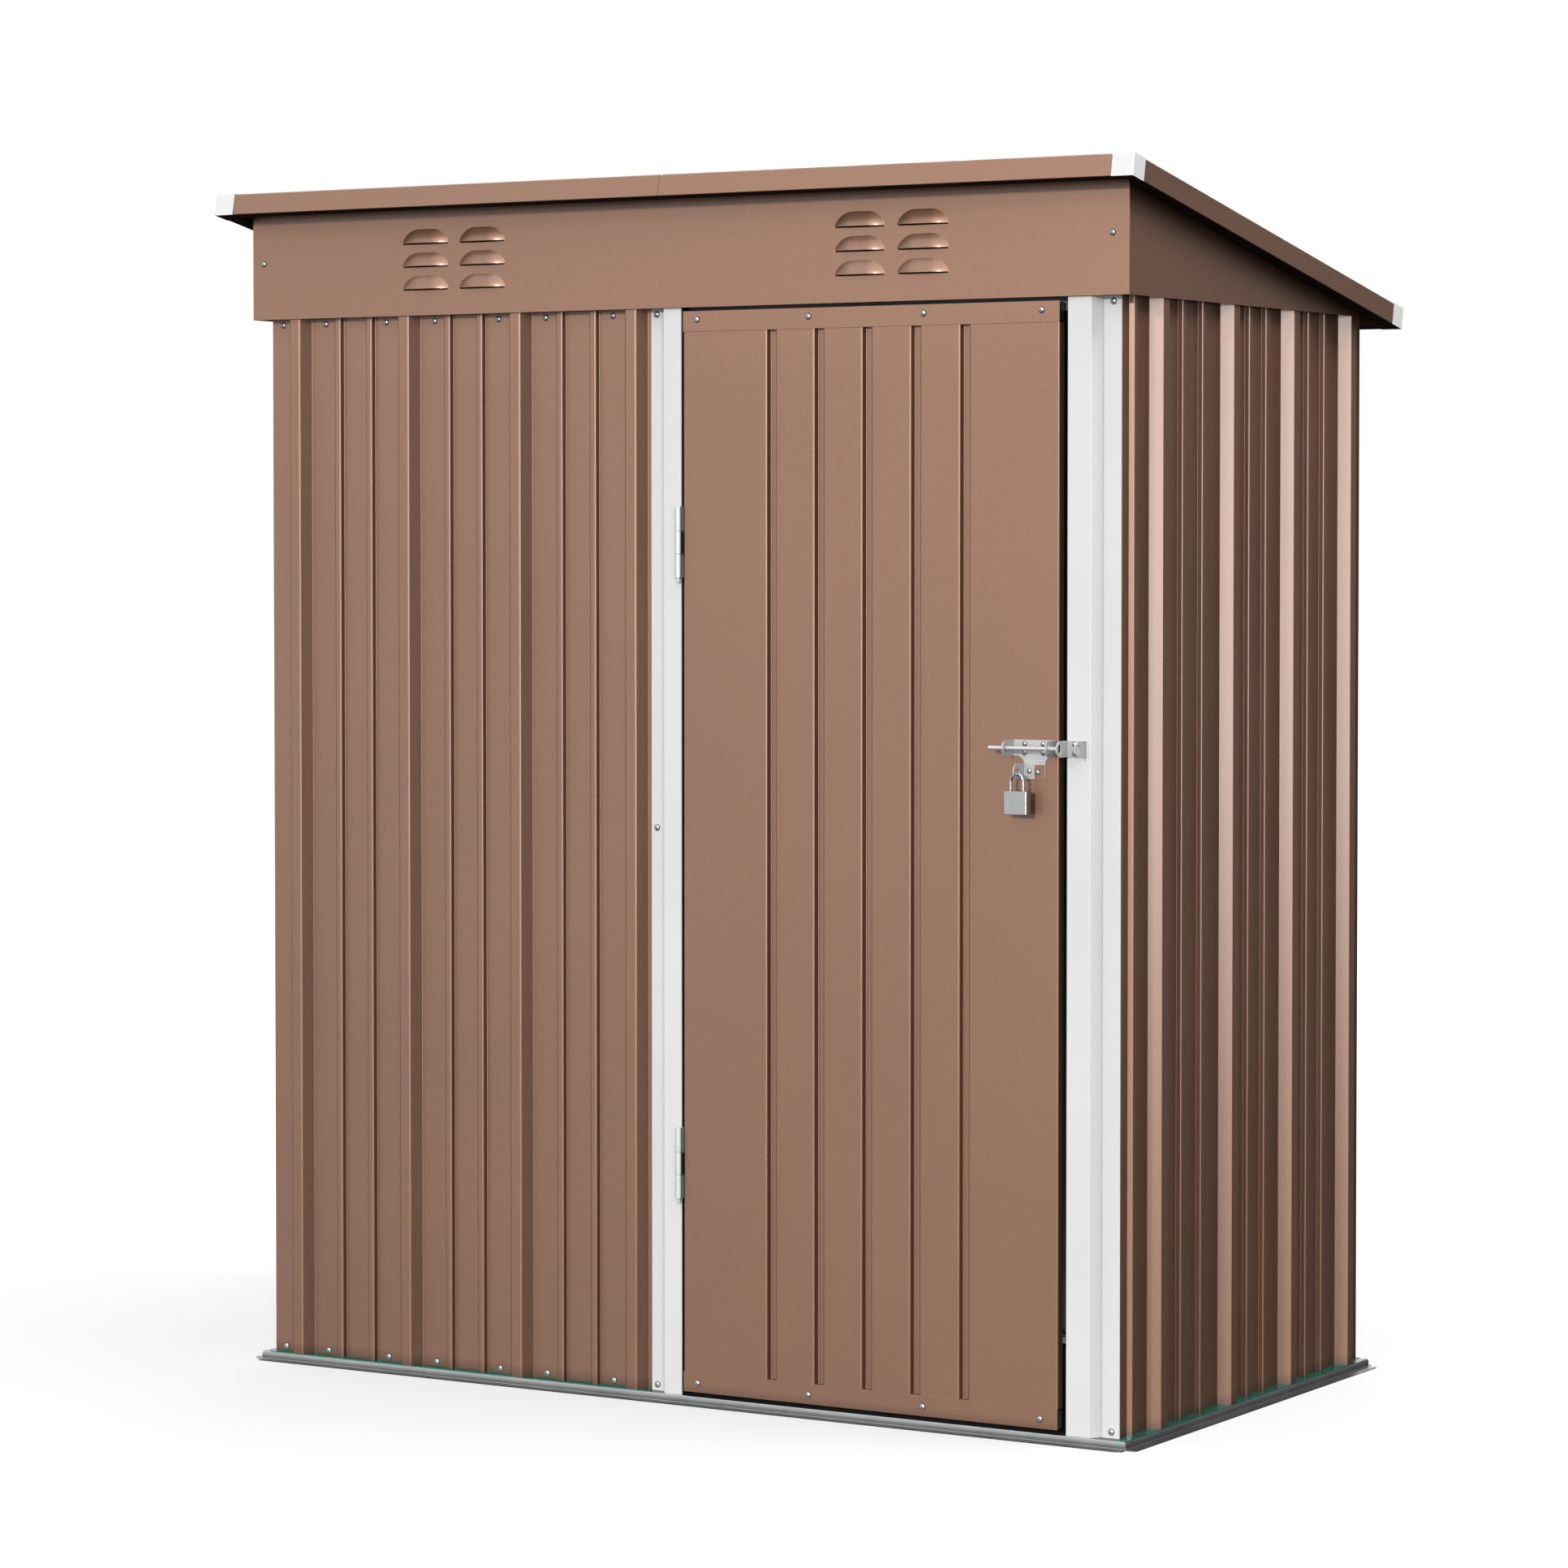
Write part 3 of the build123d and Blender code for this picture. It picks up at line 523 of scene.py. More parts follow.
def soften(loop, radii, n=5):
    """Rounds the corners of a closed outline; radii is one number or one a corner."""
    out, k = [], len(loop)
    for i, p in enumerate(loop):
        r = radii if isinstance(radii, (int, float)) else radii[i]
        a, b = loop[i - 1], loop[(i + 1) % k]
        da, db = math.dist(a, p), math.dist(b, p)
        ua, ub = ((a[0] - p[0]) / da, (a[1] - p[1]) / da), ((b[0] - p[0]) / db, (b[1] - p[1]) / db)
        cosx = ua[0] * ub[0] + ua[1] * ub[1]
        half = math.acos(max(-1, min(1, cosx))) / 2
        if r <= 0 or half > 1.55:
            out.append(p)
            continue
        tl = min(r / math.tan(half), 0.49 * min(da, db))
        r = tl * math.tan(half)
        bx, by = ua[0] + ub[0], ua[1] + ub[1]
        bl = math.hypot(bx, by)
        c = (p[0] + bx / bl * r / math.sin(half), p[1] + by / bl * r / math.sin(half))
        s = (p[0] + ua[0] * tl, p[1] + ua[1] * tl)
        e = (p[0] + ub[0] * tl, p[1] + ub[1] * tl)
        a0 = math.atan2(s[1] - c[1], s[0] - c[0])
        a1 = math.atan2(e[1] - c[1], e[0] - c[0])
        d = (a1 - a0 + math.pi) % (2 * math.pi) - math.pi
        out += [(c[0] + r * math.cos(a0 + d * j / n), c[1] + r * math.sin(a0 + d * j / n)) for j in range(n + 1)]
    return out


def ribbed(s0, s1, mains, minis):
    ev = [(m, RIB_RUN, RIB_TOP, RIB_D) for m in mains] + [(m, MINI_RUN, MINI_TOP, MINI_D) for m in minis]
    pts = [(s0, 0.0)]
    for m, run, top, d in sorted(ev):
        pts += [(m, 0.0), (m + run, d), (m + run + top, d), (m + 2 * run + top, 0.0)]
    return pts + [(s1, 0.0)]


# ---------------------------------------------------------------- base frame
rail = [(0, 1.2), (0.6, 1.2), (1.4, 1.2), (2.6, 1.2), (4.2, 1.2), (6.2, 1.2), (13.6, 1.2), (15.5, 1.6), (15.1, 4.2), (15.0, 7.0), (15.25, 9.6), (15.9, 11.4), (17.2, 12.4),
        (62, 12.4), (62, 0)]


def nose(u):
    """How far the ground flange's end is cut back, a rounded corner."""
    r = 6.0
    return r - math.sqrt(max(r * r - (r - u) ** 2, 0.0)) if u < r else 0.0


def cut(u):
    return GAP + max(0.0, u - FLANGE) + nose(max(u, 0.0))


# the ground flange's outer edge takes the near-black material: a painted shadow line along the floor
for tag, flip in (("front", lambda y: y), ("back", lambda y: BASE_D - y)):
    Piece("base_rail_%s_v" % tag, "galv", "dark", replaces=("base_rail_" + tag,)).sheet(
        rail, -RAIL_T, 1.5, lambda u, v, w, f=flip: (w, f(u), v),
        lambda u, v: -BASE_W + FLANGE + cut(u), lambda u, v: -FLANGE - cut(u), rim=1).done()
for tag, flip in (("right", lambda d: -d), ("left", lambda d: -BASE_W + d)):
    Piece("base_rail_%s_v" % tag, "galv", "dark", replaces=("base_rail_" + tag,)).sheet(
        rail, -RAIL_T, 1.5, lambda u, v, w, f=flip: (f(u), w, v),
        lambda u, v: FLANGE + cut(u), lambda u, v: BASE_D - FLANGE - cut(u), rim=1).done()

# ---------------------------------------------------------------- walls
FRONT_MAIN = [-1476.0, -1271.0, -1066.5, -860.0]
FRONT_MINI = [-1388.7, -1329.7, -1184.0, -1124.9, -979.7, -920.0]
SIDE_MAIN = [116.0, 343.5, 547.5, 750.3]
SIDE_MINI = [54.0, 206.2, 270.2, 424.6, 481.0, 627.3, 683.3]
R_BEND, FOLD, FACE, SIDE = 1.0, 2.2, 38, 59

Piece("front_panel_v", "brown", "back", replaces=("front_panel",)).sheet(
    rolled([(s, TROUGH - d) for s, d in ribbed(-1511.0, -788.0, FRONT_MAIN, FRONT_MINI)], FOLD, FACE), SHEET_T, R_BEND,
    lambda u, v, w: (u, v, w), WALL_BOT, WALL_TOP, left=1).done()
Piece("right_wall_panel_v", "brown", "back", replaces=("right_wall_panel",)).sheet(
    rolled([(-TROUGH + d, s) for s, d in ribbed(TROUGH + 1.2, BASE_D - TROUGH - 1.2, SIDE_MAIN, SIDE_MINI)], FOLD, SIDE), SHEET_T, R_BEND,
    lambda u, v, w: (u, v, w), WALL_BOT, WALL_TOP, left=1).done()
Piece("left_wall_panel_v", "brown", "back", replaces=("left_wall_panel",)).sheet(
    rolled([(-BASE_W + TROUGH - d, s) for s, d in ribbed(TROUGH + 1.2, BASE_D - TROUGH - 1.2, SIDE_MAIN, SIDE_MINI)], FOLD, SIDE, -1), -SHEET_T, R_BEND,
    lambda u, v, w: (u, v, w), WALL_BOT, WALL_TOP, right=1).done()
BM = [61.0, 266.0, 471.0, 676.0]
MID = -BASE_W / 2
for tag, x0, x1, mains, minis in (
        ("left", -1511.0, MID - 0.25, [-1511 + b - 25 for b in BM], [-1511 + b - 25 + k for b in BM[:3] for k in (86, 145)]),
        ("right", MID + 0.25, -28.5, [-28.5 - b - 15 for b in BM], [-28.5 - b - 15 + 25 - k for b in BM[:3] for k in (86, 145)])):
    pts = ribbed(x0, x1, mains, minis)
    pts = [pts[0]] + ([(-1503.0, 0.0)] if tag == "left" else []) + pts[1:-1] + ([(-36.5, 0.0)] if tag == "right" else []) + [pts[-1]]
    Piece("back_wall_panel_%s_v" % tag, "brown", "back", replaces=("back_wall_panel_" + tag,)).sheet(
        rolled([(s, BASE_D - TROUGH + d) for s, d in pts], FOLD, FACE, -1), -SHEET_T, R_BEND,
        lambda u, v, w: (u, v, w), WALL_BOT, WALL_TOP, right=lambda u, v: 1 if -1503.0 < u < -36.5 else 0).done()

# ---------------------------------------------------------------- posts
# the post's return face seen through the door gap takes the near-black material: painted shade
def gap_shade(u, v):
    return 1 if v > 19.5 and -753.5 < u < -751.0 else 0


Piece("door_post_left_v", "white", "dark", replaces=("door_post_left",)).sheet(
    [(-813.6, 33.0), (-784.9, 33.0), (-784.3, 33.8), (-783.9, 32.6), (-782.8, 16.5), (-751.6, 16.5), (-751.6, 58.0), (-775.0, 58.0)], 1.0, 1.4,
    lambda u, v, w: (u, v, w), RAIL_H, WALL_TOP, left=gap_shade, right=gap_shade).done()
Piece("corner_post_right_v", "white", replaces=("corner_post_right",)).sheet(
    [(-90.0, 58.0), (-111.8, 58.0), (-111.8, 16.5), (-74.1, 16.5), (-64.0, 32.3), (-63.3, 33.9), (-62.5, 33.0), (-34.6, 33.0)], 1.0, 1.6,
    lambda u, v, w: (u, v, w), RAIL_H, WALL_TOP).done()

# ---------------------------------------------------------------- fascia
LV_COLS = [(-1248.6, -1163.6), (-1144.0, -1060.3), (-487.0, -403.3), (-383.5, -298.8)]
LV_ROWS = [(1725.0, 1746.3), (1690.4, 1711.2), (1655.8, 1676.2)]
HOOD = 8.3


def crown(q, m=1.7):
    """Height of a louvre's upper edge, 0 to 1, at q from -1 to 1 across it."""
    a = 0.36
    q = abs(q)
    return 1.0 if q <= a else max(0.0, 1.0 - ((q - a) / (1 - a)) ** m) ** (1 / m)


def hood(p, x0, x1, z0, z1, fy, t=0.9, nu=30, nv=10):
    part = bmesh.new()
    xc, hw, hh = (x0 + x1) / 2, (x1 - x0) / 2, z1 - z0
    outer, inner = [], []
    for i in range(nu + 1):
        q = math.sin(math.pi / 2 * (2 * i / nu - 1) * 0.985)
        top = crown(q)
        a, b = [], []
        for j in range(nv + 1):
            v = math.sin(math.pi / 2 * j / nv)
            end = max(0.0, (abs(q) - 0.30) / 0.70)
            out = HOOD * (1 - min(1.0, end ** 2.0 + (v * top) ** 1.5)) - 0.06
            x, z = xc + q * hw, z0 + v * top * hh
            a.append(part.verts.new((x, fy - out, z)))
            b.append(part.verts.new((x, fy - out + t, z)))
        outer.append(a)
        inner.append(b)
    for i in range(nu):
        for j in range(nv):
            part.faces.new((outer[i][j], outer[i + 1][j], outer[i + 1][j + 1], outer[i][j + 1]))
            part.faces.new((inner[i][j], inner[i][j + 1], inner[i + 1][j + 1], inner[i + 1][j]))
        part.faces.new((outer[i][0], inner[i][0], inner[i + 1][0], outer[i + 1][0]))
        part.faces.new((outer[i][nv], outer[i + 1][nv], inner[i + 1][nv], inner[i][nv]))
    for a, b in ((outer[0], inner[0]), (outer[nu], inner[nu])):
        for j in range(nv):
            part.faces.new((a[j], a[j + 1], b[j + 1], b[j]))
    p.take(part, lambda x, y, z: (x, y, z))


fx0, fx1, fy = -1532.0, -12.0, FASCIA_IN
ftop = under(fy, SHEET_N) - 0.4
loops = [[(fx0, FASCIA_BOT), (fx1, FASCIA_BOT), (fx1, ftop), (fx0, ftop)]]
for x0, x1 in LV_COLS:
    for z0, z1 in LV_ROWS:
        xc, hw = (x0 + x1) / 2, (x1 - x0) / 2
        edge = [(xc + q * hw, z0 + crown(q) * (z1 - z0)) for q in [math.sin(math.pi / 2 * (2 * i / 24 - 1) * 0.96) for i in range(25)]]
        edge = [(xc + (x - xc) * 0.985, z0 + 0.5 + (z - z0) * 0.93) for x, z in edge]
        loops.append([(edge[0][0] + 2.0, z0 - 1.7), (edge[0][0] + 0.4, z0 - 1.0)] + edge + [(edge[-1][0] - 0.4, z0 - 1.0), (edge[-1][0] - 2.0, z0 - 1.7)])
fascia = Piece("fascia_front_v", "brown", replaces=("fascia_front",))
fascia.plate(loops, 1.0, 0.35, lambda x, z, y: (x, fy + y, z))
fascia.block(fx0 + 2, fx1 - 2, fy + 0.4, fy + 2.6, FASCIA_BOT, FASCIA_BOT + 1.0, 0.3)
for x0, x1 in LV_COLS:
    for z0, z1 in LV_ROWS:
        hood(fascia, x0, x1, z0, z1, fy)
fascia.done(38)

# ---------------------------------------------------------------- roof
for tag, x0, x1, feet in (
        ("left", ROOF_X0 + 2, SEAM - 0.2, [ROOF_X0 + 40 + k * 187 for k in range(4)]),
        ("right", SEAM + 0.2, ROOF_X1 - 2, [ROOF_X1 - 88 - k * 187 for k in range(4)][::-1])):
    ln = [(x0, SHEET_N)]
    for m in feet:
        ln += [(m, SHEET_N), (m + 10, SHEET_N + ROOF_RIB), (m + 38, SHEET_N + ROOF_RIB), (m + 48, SHEET_N)]
    ln.append((x1, SHEET_N))
    Piece("roof_sheet_%s_v" % tag, "brown", "back", replaces=("roof_sheet_" + tag,)).sheet(
        ln, SHEET_T, 1.5, lambda u, v, w: T(u, w, v), 2.0, ROOF_L - 2.0, right=1).done()

trim = [(TRIM_BOT, 0), (1.4, 0), (0, 0), (0, TRIM_H), (TRIM_TOP, TRIM_H)]


# the trims' lower flange takes the near-black painted shade on both faces
def flange_shade(u, v):
    return 1 if v < 1.0 and u > 1.4 else 0


for name, x0, x1 in (("roof_trim_front_left", ROOF_X0, -753.3), ("roof_trim_front_right", -752.7, ROOF_X1)):
    Piece(name + "_v", "brown", "under", replaces=(name,)).sheet(
        trim, -1.0, 1.2, lambda u, v, w: T(w, u, v), x0, x1, left=flange_shade, right=flange_shade).done()
Piece("roof_trim_back_v", "brown", "under", replaces=("roof_trim_back",)).sheet(
    trim, -1.0, 1.2, lambda u, v, w: T(w, ROOF_L - u, v), ROOF_X0, ROOF_X1, left=flange_shade, right=flange_shade).done()
for tag, xo, s in (("right", ROOF_X1, 1), ("left", ROOF_X0, -1)):
    Piece("roof_trim_%s_v" % tag, "brown", "under", replaces=("roof_trim_" + tag,)).sheet(
        trim, -1.0, 1.2, lambda u, v, w, o=xo, k=s: T(o - k * u, w, v), TRIM_BOT + 0.3, ROOF_L - TRIM_BOT - 0.3,
        left=flange_shade, right=flange_shade).done()


def cap(name, xo, s, vo, q):
    """White corner cap: three faces of a box with rounded outer edges, 1 mm thick."""
    part = bmesh.new()
    n0, n1, c, t, r = -0.5, TRIM_H + CAP_T, CAP, CAP_T, 1.6
    k = 5
    # the outline in plan, from the end of the front leg round the corner to the end of the side leg
    plan = [(c, 0.0)] + [(r - r * math.sin(math.pi / 2 * j / k), r - r * math.cos(math.pi / 2 * j / k)) for j in range(k + 1)] + [(0.0, c)]
    # each plan point rises, then bends over inwards to the top
    rows = []
    prof = [(0.0, n0)] + [(r - r * math.cos(math.pi / 2 * j / k), n1 - r + r * math.sin(math.pi / 2 * j / k)) for j in range(k + 1)]
    for d, n in prof:
        row = []
        for i, p in enumerate(plan):
            # shrink the rounded corner with the inset
            x, y = p
            if 0 < i < len(plan) - 1:
                a = math.pi / 2 * (i - 1) / k
                rr = max(r - d, 0.02)
                x, y = r - rr * math.sin(a), r - rr * math.cos(a)
            elif i == 0:
                y = d
            else:
                x = d
            row.append(part.verts.new((x, y, n)))
        rows.append(row)
    for a, b in zip(rows, rows[1:]):
        for i in range(len(plan) - 1):
            part.faces.new((a[i], a[i + 1], b[i + 1], b[i]))
    top = rows[-1]
    far = part.verts.new((c, c, n1))
    part.faces.new(top + [far])
    bmesh.ops.recalc_face_normals(part, faces=part.faces[:])
    up = [f for f in part.faces if abs(f.normal.z) > 0.99][0]
    if up.normal.z < 0:
        bmesh.ops.reverse_faces(part, faces=part.faces[:])
    me = bpy.data.meshes.new("scratch")
    part.to_mesh(me)
    part.free()
    ob = bpy.data.objects.new("scratch", me)
    bpy.context.scene.collection.objects.link(ob)
    so = ob.modifiers.new("s", "SOLIDIFY")
    so.thickness, so.offset, so.use_even_offset = t, -1.0, True
    bpy.context.view_layer.update()
    solid = bpy.data.meshes.new_from_object(ob.evaluated_get(bpy.context.evaluated_depsgraph_get()))
    bpy.data.objects.remove(ob)
    p = Piece(name + "_v", "cap", replaces=(name,))
    ex, ev = xo + s * t, vo - q * t
    p.copy(solid, lambda a, b, n: T(ex - s * a, ev + q * b, n))
    p.done(40)
    bpy.data.meshes.remove(solid)


cap("roof_cap_front_right", ROOF_X1, 1, 0.0, 1)
cap("roof_cap_front_left", ROOF_X0, -1, 0.0, 1)
cap("roof_cap_back_right", ROOF_X1, 1, ROOF_L, -1)
cap("roof_cap_back_left", ROOF_X0, -1, ROOF_L, -1)

# ---------------------------------------------------------------- door
# skin: grooved between the end strips, flat behind them, its long sides folded back
ln = [(DOOR_L, 30.0), (DOOR_L, DOOR_Y)]
for a, b in GROOVES:
    ln += [(a, DOOR_Y), (a + GROOVE_RUN, DOOR_Y + GROOVE_D), (b - GROOVE_RUN, DOOR_Y + GROOVE_D), (b, DOOR_Y)]
ln += [(DOOR_R, DOOR_Y), (DOOR_R, 30.0)]
ZA, ZB = DOOR_BOT + DOOR_STRIP, DOOR_TOP - DOOR_STRIP
skin = Piece("door_skin_v", "brown", "back", body="door", replaces=("door_skin",))
skin.sheet(rolled(ln, FOLD, FACE), SHEET_T, R_BEND, lambda u, v, w: (u, v, w), ZA - 0.2, ZB + 0.2, left=1)
for z0, z1 in ((DOOR_BOT, ZA), (ZB, DOOR_TOP)):
    skin.block(DOOR_L, DOOR_R, DOOR_Y, DOOR_Y + SHEET_T, z0, z1, 0.2)
for a, b in GROOVES:
    for z in (ZA - SHEET_T, ZB):
        skin.block(a, b, DOOR_Y + 0.2, DOOR_Y + GROOVE_D + SHEET_T, z, z + SHEET_T, 0.2)
skin.done()
for tag, z0, z1 in (("top", DOOR_TOP - 30.0, DOOR_TOP), ("bottom", DOOR_BOT, DOOR_BOT + 30.0)):
    Piece("door_strip_%s_v" % tag, "brown", body="door", replaces=("door_strip_" + tag,)).block(
        DOOR_L, DOOR_R, DOOR_Y - 0.8, DOOR_Y, z0, z1, 0.3, 3).done()
for tag, z0, z1 in (("top", DOOR_TOP - 27.0, DOOR_TOP - 1.5), ("bottom", DOOR_BOT + 1.5, DOOR_BOT + 27.0)):
    ch = Piece("door_channel_%s_v" % tag, "galv", body="door", replaces=("door_channel_" + tag,))
    ch.sheet([(30.0, z0), (20.0, z0), (20.0, z1), (30.0, z1)], -1.0, 1.0, lambda u, v, w: (w, u, v), DOOR_L + 1, DOOR_R - 1)
    # end tab that closes the channel at the door's free edge
    ch.block(DOOR_R - 2.0, DOOR_R - 1.0, 20.6, 29.6, z0 + 0.6, z1 - 0.6, 0.25)
    ch.done()

# ---------------------------------------------------------------- hinges
def upright(x, y):
    return lambda a, b, h: (x + a, y + b, h)


def knuckle(p, z0, z1, r=HINGE_R, grooves=(), m=0):
    c = 0.5
    prof = [(0, z0), (r - c, z0), (r - 0.15, z0 + 0.15), (r, z0 + c)]
    for g in sorted(grooves):
        prof += [(r, g - 0.35), (r - 0.35, g - 0.2), (r - 0.35, g + 0.2), (r, g + 0.35)]
    prof += [(r, z1 - c), (r - 0.15, z1 - 0.15), (r - c, z1), (0, z1)]
    p.lathe(prof, upright(HINGE_X, HINGE_Y), 28, m)


hp = Piece("hinge_leaves_post_v", "hinge", replaces=("hinge_leaves_post",))
hd = Piece("hinge_leaves_door_v", "hinge", body="door", replaces=("hinge_leaves_door",))
for z0, z1 in HINGE_Z:
    za, zb = z0 + 35.0, z1 - 36.0
    knuckle(hp, z0, za - 0.3, grooves=(z0 + 26.9,))
    knuckle(hp, zb + 0.3, z1, grooves=(z1 - 28.0,))
    hp.lathe([(0, z0 - 7.0), (1.7, z0 - 7.0), (2.3, z0 - 6.4), (2.5, z0 - 5.6), (2.5, z0 + 0.2), (0, z0 + 0.2)], upright(HINGE_X, HINGE_Y), 20)
    hp.lathe([(0, z1 - 0.1), (2.5, z1 - 0.1), (2.5, z1 + 0.1), (2.0, z1 + 0.4), (0, z1 + 0.5)], upright(HINGE_X, HINGE_Y), 20)
    hp.lathe([(0, za - 0.6), (2.4, za - 0.6), (2.4, zb + 0.6), (0, zb + 0.6)], upright(HINGE_X, HINGE_Y), 20)
    hp.block(-751.6, -750.4, 17.5, 44.0, z0, z1, 0.25)
    for a, b in ((z0, za - 0.3), (zb + 0.3, z1)):
        hp.block(-751.6, -750.4, HINGE_Y, 18.0, a, b, 0.2)
    knuckle(hd, za + 0.3, zb - 0.3)
    hd.block(-751.0, -746.6, 10.0, 11.2, za + 0.4, zb - 0.4, 0.2)
    hd.block(-747.8, -746.6, 10.0, 18.0, za + 0.4, zb - 0.4, 0.2)
    hd.block(-747.8, -746.6, 17.5, 29.0, z0, z1, 0.25)
hp.done()
hd.done()

# ---------------------------------------------------------------- bolt, keeper, padlock
PT, PY, E0, E1 = 1.5, DOOR_Y - 1.5, 970.3, 993.5


def ear_loop(y_base, y_tip, z0, z1, rounded):
    zc, hh = (z0 + z1) / 2, (z1 - z0) / 2
    if rounded:
        n = 14
        arc = [(y_tip + hh - hh * math.sin(math.pi * k / n), zc + hh * math.cos(math.pi * k / n)) for k in range(n + 1)]
        return [(y_base, z1)] + arc + [(y_base, z0)]
    c = 7.5
    return soften([(y_base, z0), (y_base, z1), (y_tip + c, z1), (y_tip, z1 - c), (y_tip, z0 + c), (y_tip + c, z0)],
                  [0, 0, 1.2, 1.2, 1.2, 1.2], 3)


def across(x0):
    """Puts a plate's (y, z, thickness) so that its thickness runs along X from x0."""
    return lambda y, z, h: (x0 + h, y, z)


def faced(y0):
    """Puts a plate's (x, z, thickness) on a front face at y0, its thickness forwards."""
    return lambda x, z, h: (x, y0 - h, z)


# T-shaped plate: bar, stem, and the two hollow corners between them
r = 11.0
tee = [(-196.0, E0), (-196.0, E1), (-126.0, E1), (-126.0, E0)]
tee += [(-143.6 + r - r * math.sin(math.pi / 2 * k / 8), E0 - r + r * math.cos(math.pi / 2 * k / 8)) for k in range(9)]
tee += [(-143.6, 939.0), (-144.6, 938.0), (-176.9, 938.0), (-177.9, 939.0)]
tee += [(-177.9 - r + r * math.cos(math.pi / 2 * k / 8), E0 - r + r * math.sin(math.pi / 2 * k / 8)) for k in range(9)]
bp = Piece("bolt_plate_v", "latch", "brown", body="door", replaces=("bolt_plate",))
bp.plate([tee], PT, 0.3, faced(DOOR_Y))
ear_slot = slot_loop(BOLT_Y, BOLT_Z, BOLT_R + 0.3, 6.5)
bp.plate([ear_loop(DOOR_Y - 0.4, -20.0, E0, E1, True), ear_slot], PT, 0.3, across(-196.0))
bp.plate([ear_loop(DOOR_Y - 0.4, -20.0, E0, E1, True), ear_slot], PT, 0.3, across(-127.5))
bp.plate([ear_loop(DOOR_Y - 0.4, -17.5, 938.2, 960.4, False), circle(LOCK_Y, LOCK_Z + 3.0, 5.6, 28)], PT, 0.3, across(LOCK_X - PT / 2))
# brown patch over the stem's lower corner
bp.plate([soften([(-161.0, 938.6), (-144.3, 938.6), (-144.3, 958.6), (-161.0, 958.6)], [0.4, 0.6, 0.4, 3.2], 6)],
         0.3, 0.1, faced(PY + 0.05), m=1)
bp.done()

kp = Piece("bolt_keeper_v", "latch", replaces=("bolt_keeper",))
kp.plate([soften([(-111.0, E0), (-111.0, E1), (-80.5, E1), (-80.5, E0)], [0, 0, 1.2, 1.2], 4)], PT, 0.3, faced(16.5))
kp.plate([ear_loop(16.5 - 0.4, -18.0, E0, E1, False), ear_slot], PT, 0.3, across(-111.0))
kp.plate([ear_loop(16.5 - 0.4, -18.0, E0, E1, False), ear_slot], PT, 0.3, across(-82.0))
kp.done()

rod = Piece("bolt_rod_v", "latch", body="bolt", replaces=("bolt_rod",))
R = BOLT_R
rod.lathe([(0, -223.0), (R - 1.0, -223.0), (R - 0.4, -222.7), (R - 0.08, -222.1), (R, -221.4),
           (R, -114.6), (R - 0.08, -113.9), (R - 0.4, -113.3), (R - 1.0, -113.0), (0, -113.0)],
          lambda a, b, h: (h, BOLT_Y + a, BOLT_Z + b), 28)
rod.done()

pc = Piece("padlock_case_v", "case", "shackle", body="padlock", replaces=("padlock_case",))
box = soften([(-197.7, LOCK_Y - 7.0), (-159.6, LOCK_Y - 7.0), (-159.6, LOCK_Y + 7.0), (-197.7, LOCK_Y + 7.0)], 2.6, 6)
pc.plate([box], 33.0, 0.7, lambda x, y, h: (x, y, 888.5 + h), res=3)
for dx in (-10.05, 10.05):  # collars round the shackle's legs
    pc.lathe([(2.6, 921.2), (3.6, 921.2), (3.6, 921.6), (3.4, 921.8), (2.75, 921.8), (2.6, 921.6), (2.6, 921.2)],
             upright(LOCK_X + dx, LOCK_Y), 24, 1)
pc.done()

sh = Piece("padlock_shackle_v", "shackle", body="padlock", replaces=("padlock_shackle",))
cr, sr, segs = 10.05, 2.5, 20
zc = LOCK_Z - cr
path = [((LOCK_X - cr, z), (-1.0, 0.0)) for z in (921.5, 927.0, zc - 1.0)]
path += [((LOCK_X - cr * math.cos(math.pi * k / 20), zc + cr * math.sin(math.pi * k / 20)),
          (-math.cos(math.pi * k / 20), math.sin(math.pi * k / 20))) for k in range(21)]
path += [((LOCK_X + cr, z), (1.0, 0.0)) for z in (zc - 1.0, 927.0, 921.5)]
rings = []
for (x, z), (nx, nz) in path:
    rings.append([sh.bm.verts.new(W(x + nx * sr * math.cos(g), LOCK_Y + sr * math.sin(g), z + nz * sr * math.cos(g)))
                  for g in [2 * math.pi * k / segs for k in range(segs)]])
for a, b in zip(rings, rings[1:]):
    for k in range(segs):
        sh.bm.faces.new((a[k], a[(k + 1) % segs], b[(k + 1) % segs], b[k]))
sh.bm.faces.new(rings[0])
sh.bm.faces.new(rings[-1][::-1])
bmesh.ops.recalc_face_normals(sh.bm, faces=sh.bm.faces[:])
sh.done()

